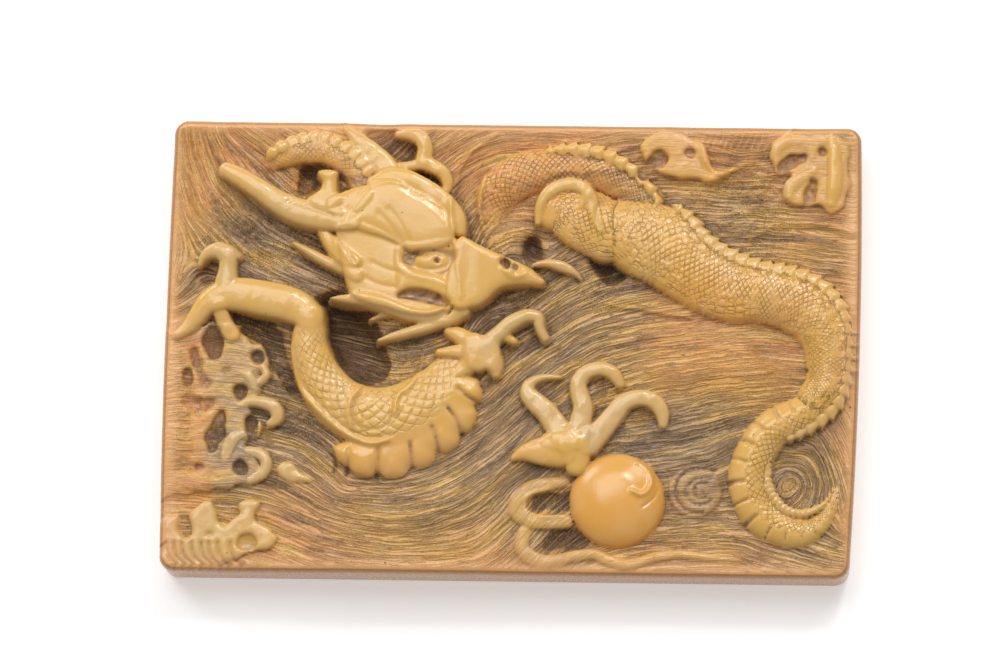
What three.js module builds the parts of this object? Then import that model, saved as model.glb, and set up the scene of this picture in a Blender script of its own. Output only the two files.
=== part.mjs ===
// An ivory plaque carved in high relief: a dragon that coils over waves and reaches for a pearl.
// It lies on its plain back with the carving up. Millimetres: +X runs to the tail's side, +Y to the
// upper edge and +Z out of the carved face. The origin is under the middle of the back.

import * as THREE from 'three';

// Driving sizes
const plaque = {
  width: 60.2,
  height: 39.8,
  cornerRadius: 1.3,
  edgeRound: 0.55,
  edgeDrop: 0.7,
  backBevel: 0.12,
};

// The four sides lean and bow a little, as a hand-sawn slab's do
const sides = {
  leftLean: 0.35,
  leftBow: 0.2,
  rightLean: 0.45,
  rightBow: 0.4,
  topFall: 0.2,
  bottomFall: 0.15,
};

// How the carving's ground and walls are cut
const carving = {
  groundLevel: 5.65,
  rimRise: 0.5,
  rimWidth: 4.4,
  wallSlope: 4,
  pitSlope: 2.2,
  pitDish: 0.35,
  blend: 0.12,
  pitch: 0.1,
};

// Faces of the lattice along and across, and how hard it is drawn onto steep walls
const lattice = {
  columns: 80,
  rows: 52,
  pull: 5,
  passes: 60,
};

// The photograph is the drawing sheet. Its eye stands off the face, leans to the lower right of square
// and is rolled a little; focal is its focal length in pixels.
const sheet = {
  middle: [511.6, 348.8],
  picture: [1000, 666],
  distance: 633,
  focal: 7238,
  tilt: THREE.MathUtils.degToRad(8),
  turn: THREE.MathUtils.degToRad(2.5),
  roll: THREE.MathUtils.degToRad(0.72),
  level: 5.6,
};
const sheetScale = sheet.focal / (sheet.distance - 6);

// Every stroke is [x, y, half width] on the sheet and its height over the back in millimetres.
// Hollows cut into the ground before anything stands on it
const groundHollows = {
  bodyHollow: [[336, 316, 14, 3.2], [346, 332, 17, 2.7], [358, 350, 17, 2.9], [370, 366, 14, 3.4]],
  clawHollow: [
    [244, 318, 8, 5], [256, 326, 11, 4.6], [270, 340, 10, 4.8], [280, 362, 7, 5], [294, 388, 6, 5],
  ],
  hookHollow: [[209, 268, 7, 5.4], [205, 278, 7, 5.5]],
  hipHollow: [[604, 262, 8, 4], [612, 274, 9, 4.3]],
  browHollow: [[533, 248, 4, 4.3], [533.5, 254, 4.5, 4.4]],
  hornHollow: [[312, 179, 8, 4.3], [306, 188, 6, 4.8]],
  crestHollow: [[374, 137, 6, 5.3], [390, 143, 11, 5], [406, 152, 9, 5]],
  crestHollowLow: [[416, 177, 6, 5.1], [430, 184, 8, 4.8]],
  cloudHollowA: [[540, 503, 9, 5.5], [550, 502, 10, 5.4], [564, 501, 10, 5.3]],
  cloudHollowB: [[550, 542, 8, 5.5], [564, 539, 9, 5.3], [580, 540, 9, 5.2]],
};

// Foam and spray, as tables with an outline
const farPlates = {
  foamLeft: {
    top: 6.25,
    crown: 0.26,
    bevel: 14,
    outline: [
      [150, 340], [176, 334], [196, 330], [214, 324], [228, 321], [241, 329], [256, 343], [267, 356],
      [269, 366], [262, 373], [262, 386], [252, 395], [246, 402], [250, 412], [258, 424], [257, 436],
      [247, 442], [250, 452], [258, 460], [260, 470], [254, 478], [242, 484], [230, 489], [210, 491],
      [186, 492], [168, 494], [150, 496],
    ],
  },
  foamKnob: {
    top: 6.1,
    crown: 0.34,
    bevel: 6,
    outline: [
      [277, 470], [287, 462], [298, 469], [312, 480], [300, 482], [282, 479],
    ],
  },
  foamCorner: {
    top: 6.45,
    crown: 0.3,
    bevel: 5,
    outline: [
      [150, 524], [162, 520], [171, 516], [178, 515], [180, 521], [179, 529], [184, 536], [191, 534],
      [192, 526], [190, 516], [194, 507], [202, 502], [211, 502], [217, 508], [217, 518], [223, 524],
      [232, 518], [240, 512], [238, 505], [244, 499], [250, 498], [258, 503], [254, 512], [254, 520],
      [262, 526], [271, 531], [276, 538], [272, 546], [262, 549], [250, 551], [240, 556], [225, 562],
      [200, 568], [150, 570],
    ],
  },
  foamTopMass: {
    top: 6.4,
    crown: 0.26,
    bevel: 7,
    outline: [
      [640, 146], [648, 136], [662, 131], [676, 134], [688, 139], [700, 143], [707, 151], [709, 163],
      [716, 170], [728, 173], [724, 178], [708, 181], [700, 178], [690, 177], [678, 178], [668, 174],
      [658, 170], [648, 160],
    ],
  },
  foamTopRing: {
    top: 6.4,
    crown: 0.26,
    bevel: 7,
    outline: [
      [772, 154], [775, 143], [786, 136], [800, 134], [815, 134], [830, 134], [842, 139], [848, 152],
      [848, 170], [846, 190], [842, 206], [834, 212], [824, 206], [816, 204], [806, 204], [798, 204],
      [788, 202], [783, 192], [786, 182], [790, 176], [780, 172], [774, 164],
    ],
  },
};

// The far coils of the body, the clouds and the breaking crests
const farForms = {
  coilFins: {
    crown: 0.3,
    path: [
      [268, 157, 5, 6.4], [276, 149, 6.5, 6.6], [291, 142, 7, 6.67], [308, 138, 7.5, 6.74],
      [325, 138, 7.5, 6.74], [343, 146, 7.5, 6.74], [357, 157, 7.5, 6.74], [367, 170, 7, 6.74],
    ],
  },
  archFins: {
    crown: 0.3,
    path: [
      [540, 152, 3, 6.6], [558, 149, 7, 6.95], [580, 149, 9, 7.02], [602, 153, 9, 7.02],
      [621, 162, 9, 7.02], [638, 174, 8, 6.95], [652, 190, 7, 6.88], [662, 206, 4, 6.74],
    ],
  },
  coilBehindHorn: {
    crown: 0.77,
    path: [
      [262, 166, 8, 5.6], [276, 158, 11, 6.3], [291, 152, 12, 6.67], [308, 149, 13, 6.81],
      [325, 150, 13, 6.81], [341, 158, 13, 6.81], [353, 168, 13, 6.74], [360, 180, 12, 6.67],
    ],
  },
  archBody: {
    crown: 1.1,
    path: [
      [497, 240, 19, 5.3], [491, 212, 20, 5.9], [502, 186, 22, 6.5], [530, 170, 22, 6.81],
      [562, 165, 20, 6.95], [594, 168, 19, 6.95], [624, 182, 17, 6.81], [650, 198, 14, 6.6],
    ],
  },
  maneRibbon: {
    crown: 0.34,
    path: [
      [346, 129, 3, 6.3], [355, 137, 7, 6.55], [368, 150, 11, 6.67], [382, 164, 13, 6.74],
      [388, 171, 12, 6.74],
    ],
  },
  cloudUpperCurl: {
    crown: 0.3,
    path: [
      [566, 482, 5, 5.9], [545, 484, 7, 6.1], [528, 489, 8, 6.2], [517, 500, 9, 6.25],
      [518, 512, 9, 6.25], [530, 520, 8, 6.25], [546, 522, 7, 6.2], [566, 521, 7, 6.1],
    ],
  },
  cloudRibbon: {
    crown: 0.3,
    path: [
      [524, 532, 7, 6.18], [522, 548, 8, 6.23], [534, 559, 8, 6.28], [553, 561, 6.5, 6.28],
      [570, 557, 6, 6.28], [593, 554, 5.5, 6.28], [610, 561, 5.5, 6.28], [630, 564, 5, 6.28],
      [655, 557, 5, 6.23], [680, 554, 4, 6.18], [705, 557, 4, 6.08], [739, 560, 3, 5.98],
    ],
  },
  crestTop: {
    crown: 0.3,
    path: [
      [398, 134, 3.5, 6.3], [411, 134, 6, 6.55], [421, 138, 7.5, 6.74], [425, 148, 7.5, 6.74],
      [424, 160, 8, 6.74], [432, 165, 7, 6.74], [442, 171, 6.5, 6.74], [447, 180, 5.5, 6.67],
      [447, 189, 4, 6.5],
    ],
  },
  crestBridge: {
    crown: 0.3,
    path: [
      [396, 166, 4, 6.4], [408, 165, 4.5, 6.6], [422, 163, 6, 6.74],
    ],
  },
  foamFingerA: {
    crown: 0.26,
    path: [
      [238, 371, 3, 6.3], [246, 373, 4, 6.5], [252, 380, 4, 6.5], [255, 389, 3, 6.35],
    ],
  },
  foamFingerB: {
    crown: 0.3,
    path: [
      [236, 405, 4, 6.3], [250, 401, 5, 6.5], [263, 402, 6, 6.6], [274, 407, 6.5, 6.63],
      [277, 417, 6, 6.55], [270, 423, 4, 6.4],
    ],
  },
  foamFingerC: {
    crown: 0.26,
    path: [
      [224, 462, 5, 6.35], [228, 447, 6, 6.5], [235, 436, 5.5, 6.55], [246, 433, 3.5, 6.45],
    ],
  },
  foamFingerD: {
    crown: 0.3,
    path: [
      [248, 450, 4, 6.4], [259, 453, 5.5, 6.5], [266, 462, 5.5, 6.55], [262, 473, 5.5, 6.5],
      [250, 480, 4, 6.4],
    ],
  },
  foamFingerE: {
    crown: 0.26,
    path: [
      [262, 366, 3.5, 6.4], [266, 374, 4, 6.5], [261, 381, 4, 6.4],
    ],
  },
  foamTopRim: {
    crown: 0.26,
    path: [
      [777, 163, 3.5, 6.4], [775, 153, 5, 6.55], [783, 143, 5.5, 6.6], [797, 140, 5, 6.55],
      [809, 146, 4.5, 6.5], [813, 157, 3.5, 6.45],
    ],
  },
  foamTopLobe: {
    crown: 0.26,
    path: [
      [788, 195, 5, 6.5], [791, 185, 6.5, 6.55], [801, 178, 5.5, 6.55], [813, 172, 4, 6.45],
    ],
  },
  foamTopSpine: {
    crown: 0.34,
    path: [
      [831, 138, 4.5, 6.6], [834, 152, 6, 6.74], [835, 170, 7, 6.81], [834, 188, 7, 6.81],
      [831, 203, 5, 6.67],
    ],
  },
  beardWisp: {
    crown: 0.26,
    path: [
      [370, 320, 1.5, 6.2], [384, 314, 3, 6.5], [400, 311, 4, 6.74],
    ],
  },
  knuckleBead: {
    crown: 0.68,
    path: [
      [472, 384, 8, 6.6], [473, 391, 8, 6.6],
    ],
  },
};

// Holes bored in the foam
const foamHoles = {
  leftPitA: [[257.3, 357, 5.85, 5.6], [257.8, 358, 5.85, 5.6]],
  leftPitB: [[241.3, 391, 7.2, 5.6], [241.7, 392, 7.2, 5.6]],
  leftPitC: [[251.5, 421, 6.3, 5.4], [252.5, 426, 5.85, 5.4], [256, 436, 3.6, 5.8]],
  leftPitD: [[239.7, 468, 7.65, 5.7], [240, 468.6, 7.65, 5.7]],
  leftPitE: [[222, 416, 5.4, 5.8], [220, 424, 8.1, 5.7], [215, 438, 8.1, 5.7], [214, 446, 5.4, 5.8]],
  leftPitF: [[190, 402, 8.1, 6.1], [202, 408, 8.1, 6.05], [210, 402, 3.6, 6.1]],
  leftPitG: [[187, 374, 4.5, 5.95], [187.8, 381, 4.5, 5.95]],
  leftPitH: [[226, 370.6, 3, 6.15], [227, 371, 3, 6.15]],
  leftPitI: [[199.2, 468, 3.5, 6.15], [200, 468, 3.5, 6.15]],
  leftPitK: [[213, 475, 4.5, 6.25], [217, 477, 4, 6.25]],
  leftPitM: [[213, 330, 5.4, 5.8], [213, 342, 9.9, 5.4], [214, 353, 7.2, 5.5]],
  leftPitN: [[196, 352, 5.4, 6.1], [198, 366, 5.4, 6.1], [206, 384, 5.4, 6.1]],
  cornerPit: [[208.5, 534.5, 4, 6.25], [209.5, 534.5, 4, 6.25]],
  dripHollow: [[184, 504, 6, 6.15], [185, 518, 5, 6.05], [185.4, 530, 8, 5.95]],
  cornerPitLow: [[246, 542, 8, 5.8], [250, 542, 8, 5.8]],
  cornerGap: [[222, 504, 9, 5.6], [230, 508, 9, 5.6]],
  foamHollowA: [[645, 173, 6, 5.75], [652, 165, 7.5, 5.75], [660, 158, 7, 5.8]],
  foamHollowB: [[690.5, 153, 3.5, 6.1], [691, 153.6, 3.5, 6.1]],
  foamHollowC: [[785, 170, 5, 5.95], [793, 162, 7.5, 5.95], [800, 159, 5.5, 6]],
  foamHollowD: [[822, 151, 3.5, 6.1], [822.5, 153, 3.5, 6.1]],
  foamHollowE: [[813, 184, 4.5, 5.9], [811, 192, 6, 5.85], [807, 204, 5, 5.9]],
};

// The near body, legs, claws, horn and whiskers
const nearForms = {
  backFins: {
    crown: 0.4,
    path: [
      [671, 203, 4, 6.95], [682, 210, 7, 7.05], [692, 220, 9, 7.09], [704, 237, 10, 7.09],
      [727, 253, 10, 7.09], [759, 265, 9, 7.02], [790, 271, 9, 7.02], [817, 281, 9, 6.95],
      [836, 299, 9, 6.95], [845, 320, 8, 6.88], [848, 352, 7, 6.81], [842, 394, 8, 6.81],
      [824, 418, 8, 6.81], [790, 438, 6, 6.88],
    ],
  },
  tailFins: {
    crown: 0.25,
    path: [
      [776, 446, 4, 6.74], [768, 462, 5, 6.74], [768, 482, 6, 6.74], [777, 501, 6, 6.67],
      [792, 512, 6, 6.6], [808, 512, 5.5, 6.4], [824, 503, 4, 6.2], [834, 488, 2, 6],
    ],
  },
  thigh: {
    crown: 1.06,
    path: [
      [552, 216, 14, 6.88], [562, 208, 23, 7.05], [583, 217, 31, 7.16], [608, 230, 31, 7.02],
    ],
  },
  hipRim: {
    crown: 0.3,
    path: [
      [538, 222, 3, 6.81], [539.5, 206, 4.5, 6.99], [548, 192, 6, 7.12], [565, 184, 6.5, 7.16],
      [581, 186, 6.5, 7.2], [590, 196, 6.5, 7.23], [594, 212, 6, 7.23], [601, 230, 3.5, 7.2],
    ],
  },
  hipHook: {
    crown: 0.26,
    path: [
      [589, 192, 5, 7.2], [583.5, 199, 3.8, 7.2], [581, 207, 2, 7.12],
    ],
  },
  bodyNeck: {
    crown: 1.1,
    path: [
      [312, 313, 12, 7.23], [309, 328, 16, 7.3], [309, 348, 19, 7.33], [319, 377, 23, 7.3],
      [339, 402, 27, 7.3], [368, 415, 30, 7.3], [397, 413, 30, 7.23], [424, 401, 29, 7.16],
      [443, 384, 25, 6.95], [456, 366, 20, 6.67],
    ],
  },
  bodyFlank: {
    crown: 1.53,
    path: [
      [625, 224, 28, 7.2], [641, 235, 38, 7.47], [668, 247, 40, 7.58], [693, 266, 37, 7.51],
      [727, 286, 35, 7.44], [767, 292, 31, 7.37], [801, 302, 32, 7.3], [827, 332, 28, 7.23],
      [829, 376, 23, 7.09], [815, 400, 20, 7.12],
    ],
  },
  tailCoil: {
    crown: 1.44,
    path: [
      [825, 388, 21, 7.09], [806, 410, 19, 7.16], [770, 430, 20, 7.23], [750, 466, 21, 7.16],
      [751, 495, 20, 7.02], [767, 519, 20, 6.88], [795, 532, 17, 6.74], [817, 526, 12, 6.5],
      [833, 505, 8, 6.2], [838, 484, 3.5, 5.9],
    ],
  },
  foreleg: {
    crown: 0.77,
    path: [
      [311, 316, 13, 7.23], [298, 307, 17, 7.37], [282, 301, 18, 7.4], [262, 297, 18, 7.4],
      [240, 293, 17, 7.37], [222, 294, 15, 7.3], [208, 301, 12, 7.23], [199, 312, 10, 7.09],
      [190, 324, 8, 6.95], [177, 335, 5, 6.81],
    ],
  },
  forelegThumb: {
    crown: 0.51,
    path: [
      [226, 282, 12, 7.3], [227, 268, 9, 7.3], [227, 257, 9.5, 7.3], [220, 250, 9, 7.3],
      [210, 251, 7, 7.16], [203, 257, 4.5, 7.02], [199.5, 265, 2, 6.88],
    ],
  },
  forelegSpur: {
    crown: 0.42,
    path: [
      [228, 253, 9, 7.23], [238, 256, 3.5, 7.02],
    ],
  },
  forelegToe: {
    crown: 0.42,
    path: [
      [219, 308, 8, 6.95], [224, 321, 7.5, 6.74], [232, 334, 8, 6.5],
    ],
  },
  temple: {
    crown: 0.42,
    path: [
      [336, 205, 10, 7.44], [350, 202, 13, 7.51], [364, 194, 9, 7.44],
    ],
  },
  frondUpper: {
    crown: 0.38,
    path: [
      [294, 243, 2, 6.2], [303, 248, 3.5, 6.5], [323, 259, 5, 6.74], [342, 268, 5.5, 6.95],
      [357, 276, 6, 7.09],
    ],
  },
  lowerJaw: {
    crown: 0.38,
    path: [
      [331, 298, 1.5, 6.95], [342, 298, 4, 7.09], [358, 299, 6, 7.2], [374, 302, 7, 7.23],
      [390, 307, 6.5, 7.23], [408, 314, 6, 7.23], [426, 316.5, 5.5, 7.23], [440, 313, 5, 7.23],
      [450, 306, 3, 7.16],
    ],
  },
  chinWhisker: {
    crown: 0.42,
    path: [
      [462, 309, 8, 7.51], [452, 318, 6, 7.37], [440, 322, 5.5, 7.23], [424, 327, 5.5, 7.09],
      [406, 332, 5, 6.95], [392, 336, 4, 6.81], [379, 340, 2, 6.6],
    ],
  },
  snoutWhisker: {
    crown: 0.34,
    path: [
      [535, 264, 2, 6.6], [548, 262.5, 4, 6.67], [562, 266, 5.5, 6.67], [574, 272, 3.5, 6.5],
      [581, 279, 1.5, 6.2],
    ],
  },
  horn: {
    crown: 0.59,
    path: [
      [226, 169, 8, 7.2], [236, 174, 9.2, 7.33], [248, 181, 9.8, 7.44], [262, 190, 10.5, 7.51],
      [280, 202, 12, 7.58], [298, 210, 13.5, 7.62], [318, 215, 13.5, 7.65], [338, 219, 11, 7.65],
      [352, 222, 8, 7.58],
    ],
  },
  earBlade: {
    crown: 0.42,
    path: [
      [322, 231, 5, 7.02], [332, 243, 8, 7.23], [344, 256, 9, 7.3], [356, 262, 5, 7.3],
    ],
  },
  browCrest: {
    crown: 0.38,
    path: [
      [372, 182, 6, 7.4], [388, 176, 8, 7.51], [404, 177, 9, 7.58], [420, 184, 9, 7.58],
      [436, 194, 9, 7.62], [449, 205, 8, 7.62], [458, 217, 7, 7.62], [460, 230, 6, 7.51],
    ],
  },
  frontToeUp: {
    crown: 0.51,
    path: [
      [484, 348, 11, 7.16], [497, 334, 8, 7.23], [511, 322, 8, 7.3], [526, 315, 7, 7.3],
      [537, 317, 6.5, 7.23], [540, 328, 5, 7.16], [545, 338, 4.5, 7.02],
    ],
  },
  frontToeBack: {
    crown: 0.42,
    path: [
      [472, 342, 9, 7.09], [458, 334, 8, 7.02], [448, 331, 4.5, 6.88],
    ],
  },
  frontToeLeft: {
    crown: 0.42,
    path: [
      [474, 352, 10, 7.09], [456, 351, 7, 7.02], [439, 352, 4, 6.88],
    ],
  },
  frontToeDown: {
    crown: 0.42,
    path: [
      [484, 352, 13, 7.16], [493, 362, 10, 7.09], [496, 374, 4, 7.02],
    ],
  },
  frontToeLow: {
    crown: 0.42,
    path: [
      [474, 358, 11, 7.16], [465, 367, 8, 7.02], [454, 374, 4.5, 6.88],
    ],
  },
  frontToeStub: {
    crown: 0.26,
    path: [
      [505, 336, 5, 6.95], [514, 341, 3.5, 6.81],
    ],
  },
  pearlThumb: {
    crown: 0.51,
    path: [
      [513, 458, 3, 6.67], [525, 452, 8, 6.88], [543, 450, 14, 7.02], [560, 449, 17, 7.09],
    ],
  },
  pearlPalm: {
    crown: 0.51,
    path: [
      [548, 440, 8, 6.88], [566, 440, 14, 7.05], [576, 450, 14, 7.09], [576, 464, 11, 7.02],
    ],
  },
  pearlToeLeft: {
    crown: 0.38,
    path: [
      [566, 440, 13, 7.02], [556, 425, 11.5, 6.99], [546, 411, 10.5, 6.95], [536, 402, 10, 6.88],
      [528, 393, 8, 6.84], [530, 383, 5.5, 6.74], [543, 377, 3.5, 6.6], [560, 377, 2, 6.4],
    ],
  },
  pearlToeMid: {
    crown: 0.38,
    path: [
      [577, 438, 12, 7.02], [580, 421, 10.5, 6.99], [583, 407, 9.5, 6.99], [580, 395, 9, 6.95],
      [578, 383, 8, 6.92], [586, 372, 7.5, 6.88], [600, 368, 7, 6.88], [613, 373, 7, 6.81],
      [620, 383, 5, 6.67],
    ],
  },
  pearlToeRight: {
    crown: 0.38,
    path: [
      [588, 442, 13, 7.02], [601, 429, 11, 6.99], [613, 415, 10, 6.95], [624, 402, 9, 6.92],
      [640, 397, 8, 6.88], [654, 401, 8, 6.84], [662, 412, 7, 6.74], [663, 424, 4.5, 6.6],
    ],
  },
};

// The head's and the front claw's broad parts
const nearPlates = {
  bellyPlates: {
    top: 6.99,
    crown: 1.1,
    bevel: 22,
    outline: [
      [331, 447], [335, 457], [341, 463], [347, 466], [354, 473], [363, 476], [371, 476], [377, 471],
      [385, 477], [395, 478], [404, 475], [411, 466], [419, 468], [428, 465], [434, 459], [437, 450],
      [445, 452], [453, 448], [459, 441], [460, 432], [468, 431], [474, 423], [477, 413], [474, 404],
      [481, 399], [482, 389], [474, 379], [455, 372], [420, 395], [380, 430], [345, 440],
    ],
  },
  hornProng: {
    top: 7.58,
    crown: 0.34,
    bevel: 6,
    outline: [
      [317.5, 171], [324, 169], [332, 169.5], [337, 172], [336, 181], [337, 191], [342, 200],
      [334, 207], [320, 206], [307, 199], [314, 193], [320, 188], [322, 181], [319, 176],
    ],
  },
  cheek: {
    top: 7.4,
    crown: 0.26,
    bevel: 16,
    outline: [
      [336, 228], [350, 222], [372, 228], [392, 238], [404, 248], [402, 256], [410, 268], [428, 273],
      [446, 282], [450, 298], [443, 310], [426, 315], [405, 313], [386, 307], [366, 302], [352, 294],
      [346, 281], [342, 262], [340, 244],
    ],
  },
  socket: {
    top: 7.33,
    crown: 0.26,
    bevel: 6,
    outline: [
      [398, 246], [420, 244], [445, 240], [458, 240], [458, 268], [448, 286], [430, 282], [408, 276],
      [396, 266],
    ],
  },
  upperLip: {
    top: 7.58,
    crown: 0.34,
    bevel: 8,
    outline: [
      [398, 266], [412, 270], [430, 274], [442, 281], [448, 290], [449, 300], [440, 299], [426, 292],
      [410, 289], [398, 289],
    ],
  },
  brow: {
    top: 7.86,
    crown: 0.51,
    bevel: 22,
    outline: [
      [346, 222], [354, 205], [366, 188], [380, 180], [398, 181], [416, 191], [432, 200], [448, 214],
      [456, 225], [453, 237], [445, 245], [425, 251], [411, 250], [398, 243], [382, 236], [362, 230],
    ],
  },
  snout: {
    top: 7.79,
    crown: 0.51,
    bevel: 11,
    fall: -0.1,
    outline: [
      [461, 236], [477, 243], [492, 250], [513, 259], [528, 266], [539, 275], [544, 281], [540, 284],
      [527, 283], [513, 284], [503, 286], [494, 292], [487, 299], [480, 304], [471, 307], [460, 309],
      [452, 306], [447, 299], [446, 286], [449, 268], [453, 250],
    ],
  },
  frontPalm: {
    top: 7.2,
    crown: 0.34,
    bevel: 7,
    outline: [
      [464, 338], [472, 332], [482, 334], [492, 337], [499, 346], [500, 360], [496, 372], [486, 369],
      [478, 371], [468, 366], [462, 352],
    ],
  },
};

// Bosses with a round or oval outline
const domes = {
  cloudDisc: { at: [695, 490.5], half: [27, 27], top: 6.2, drop: 0.45 },
  pearl: { at: [617, 500], half: [48, 48], top: 7.54, drop: 1.9 },
  eye: { at: [431.5, 261], half: [17.5, 9], top: 7.51, drop: 0.5 },
  nostrilLobe: { at: [509, 269], half: [9, 7], top: 7.82, drop: 0.45 },
};

// The hollow round the eye
const eyeSocket = [[409, 259, 6, 7.02], [422, 261, 10, 6.99], [440, 260, 10, 6.99], [450, 257, 6, 7.09]];

// The mouth, the nostrils and the pupil
const faceHoles = {
  mouth: [
    [400, 296, 2, 6.95], [410, 295, 4.5, 6.81], [424, 297, 5.5, 6.74], [438, 301, 4.5, 6.74],
    [447, 305, 2, 6.88],
  ],
  noseHoleA: [[505, 263, 3.3, 6.81], [506.5, 265, 3.3, 6.81]],
  noseHoleB: [[515, 267, 2.1, 7.09], [516, 268, 2.1, 7.09]],
  eyeHole: [[436.5, 260.6, 1.8, 7.09], [437.6, 261.4, 1.8, 7.09]],
};

// Low swells and dips of the water: x, y and reach on the sheet, rise in millimetres
const swells = [
  [172, 360, 34, 0.3], [174, 410, 38, 0.4], [176, 462, 34, 0.35],
  [470, 500, 70, 0.55], [400, 525, 60, 0.45], [340, 540, 50, 0.35], [690, 365, 60, 0.55],
  [740, 375, 50, 0.4], [560, 335, 25, -0.35], [320, 260, 40, -0.45], [270, 225, 28, -0.5],
  [500, 200, 22, -0.5], [740, 190, 30, -0.2], [800, 490, 26, -0.6], [395, 360, 25, -0.35],
  [510, 300, 20, -0.5], [285, 420, 25, -0.3],
];

// The eye's own axes, then the point of the plaque at a given height that a place on the sheet shows
const toEye = new THREE.Vector3(Math.tan(sheet.turn), -Math.tan(sheet.tilt), 1).normalize();
const square = new THREE.Vector3(0, 1, 0).addScaledVector(toEye, -toEye.y).normalize();
const level = new THREE.Vector3().crossVectors(square, toEye);
const [rollCos, rollSin] = [Math.cos(sheet.roll), Math.sin(sheet.roll)];
const sheetRight = level.clone().multiplyScalar(rollCos).addScaledVector(square, rollSin);
const sheetUp = square.clone().multiplyScalar(rollCos).addScaledVector(level, -rollSin);
const reach = sheet.distance / sheet.focal;
const eye = new THREE.Vector3(0, 0, sheet.level)
  .addScaledVector(sheetRight, (sheet.picture[0] / 2 - sheet.middle[0]) * reach)
  .addScaledVector(sheetUp, (sheet.middle[1] - sheet.picture[1] / 2) * reach)
  .addScaledVector(toEye, sheet.distance);

function onPlaque(x, y, height) {
  const ray = toEye.clone().negate()
    .addScaledVector(sheetRight, (x - sheet.picture[0] / 2) / sheet.focal)
    .addScaledVector(sheetUp, (sheet.picture[1] / 2 - y) / sheet.focal);
  const travel = (height - eye.z) / ray.z;
  return [eye.x + ray.x * travel, eye.y + ray.y * travel];
}

// A point of the slab's outline or of its face: u and v run from -1 to 1, inset is the distance kept
// from the side, and the corners are quarter rounds
function facePoint(u, v, inset) {
  const radius = plaque.cornerRadius - inset;
  const straight = [plaque.width / 2 - plaque.cornerRadius, plaque.height / 2 - plaque.cornerRadius];
  let across = u * (straight[0] + radius);
  let along = v * (straight[1] + radius);
  const a = (Math.abs(across) - straight[0]) / radius;
  const b = (Math.abs(along) - straight[1]) / radius;
  if (a > 0 && b > 0) {
    across = Math.sign(across) * (straight[0] + radius * a * Math.sqrt(1 - b * b / 2));
    along = Math.sign(along) * (straight[1] + radius * b * Math.sqrt(1 - a * a / 2));
  }
  const s = across / (plaque.width / 2);
  const t = along / (plaque.height / 2);
  const belly = 1 - t * t;
  const left = -plaque.width / 2 + sides.leftLean * t - sides.leftBow * belly;
  const right = plaque.width / 2 + sides.rightLean * t + sides.rightBow * belly;
  const top = plaque.height / 2 - sides.topFall * s;
  const bottom = -plaque.height / 2 - sides.bottomFall * s;
  return [
    THREE.MathUtils.lerp(left, right, (s + 1) / 2) - shift[0],
    THREE.MathUtils.lerp(bottom, top, (t + 1) / 2) - shift[1],
  ];
}

// The slab's box is brought to the middle
const shift = [0, 0];
const around = [];
for (let step = -1; step <= 1; step += 0.01) {
  around.push(facePoint(step, 1, 0), facePoint(step, -1, 0), facePoint(1, step, 0), facePoint(-1, step, 0));
}
const box = new THREE.Box2().setFromPoints(around.map(([x, y]) => new THREE.Vector2(x, y)));
const boxMiddle = box.getCenter(new THREE.Vector2());
shift[0] = boxMiddle.x;
shift[1] = boxMiddle.y;

// The carving is a field of heights on a fine square net that is wider than the slab
const fieldHalf = [plaque.width / 2 + 1, plaque.height / 2 + 1];
const fieldColumns = Math.ceil(2 * fieldHalf[0] / carving.pitch) + 1;
const fieldRows = Math.ceil(2 * fieldHalf[1] / carving.pitch) + 1;
const heights = new Float64Array(fieldColumns * fieldRows);

// Calls visit(x, y, index) for every point of the net in a box with a margin
function overNet(low, high, margin, visit) {
  const step = (value, axis) => Math.round((value + fieldHalf[axis]) / carving.pitch);
  const last = [fieldColumns - 1, fieldRows - 1];
  const from = low.map((value, axis) => Math.max(0, step(value - margin, axis)));
  const to = high.map((value, axis) => Math.min(last[axis], step(value + margin, axis)));
  for (let row = from[1]; row <= to[1]; row += 1) {
    for (let column = from[0]; column <= to[0]; column += 1) {
      const [x, y] = [column * carving.pitch - fieldHalf[0], row * carving.pitch - fieldHalf[1]];
      visit(x, y, row * fieldColumns + column);
    }
  }
}

function softHigher(a, b) {
  return (a + b + Math.hypot(a - b, carving.blend)) / 2;
}

function softLower(a, b) {
  return (a + b - Math.hypot(a - b, carving.blend)) / 2;
}

// How far a round shoulder has fallen at a part of its half width
function shoulder(part) {
  return 1 - Math.sqrt(Math.max(0, 1 - part * part));
}

// A smooth line through points of any number of values
function smoothLine(points, closed) {
  const count = points.length;
  const steps = 6;
  const line = [];
  for (let i = 0; i < (closed ? count : count - 1); i += 1) {
    const at = (k) => points[closed ? (k + count) % count : Math.min(Math.max(k, 0), count - 1)];
    const [p0, p1, p2, p3] = [at(i - 1), at(i), at(i + 1), at(i + 2)];
    for (let step = 0; step < steps; step += 1) {
      line.push(p1.map((_, axis) => catmullRom(step / steps, p0[axis], p1[axis], p2[axis], p3[axis])));
    }
  }
  line.push(closed ? line[0] : points[count - 1]);
  return line;
}

function catmullRom(t, p0, p1, p2, p3) {
  const v0 = (p2 - p0) / 2;
  const v1 = (p3 - p1) / 2;
  return (2 * p1 - 2 * p2 + v0 + v1) * t ** 3 + (3 * p2 - 3 * p1 - 2 * v0 - v1) * t ** 2 + v0 * t + p1;
}

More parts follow.
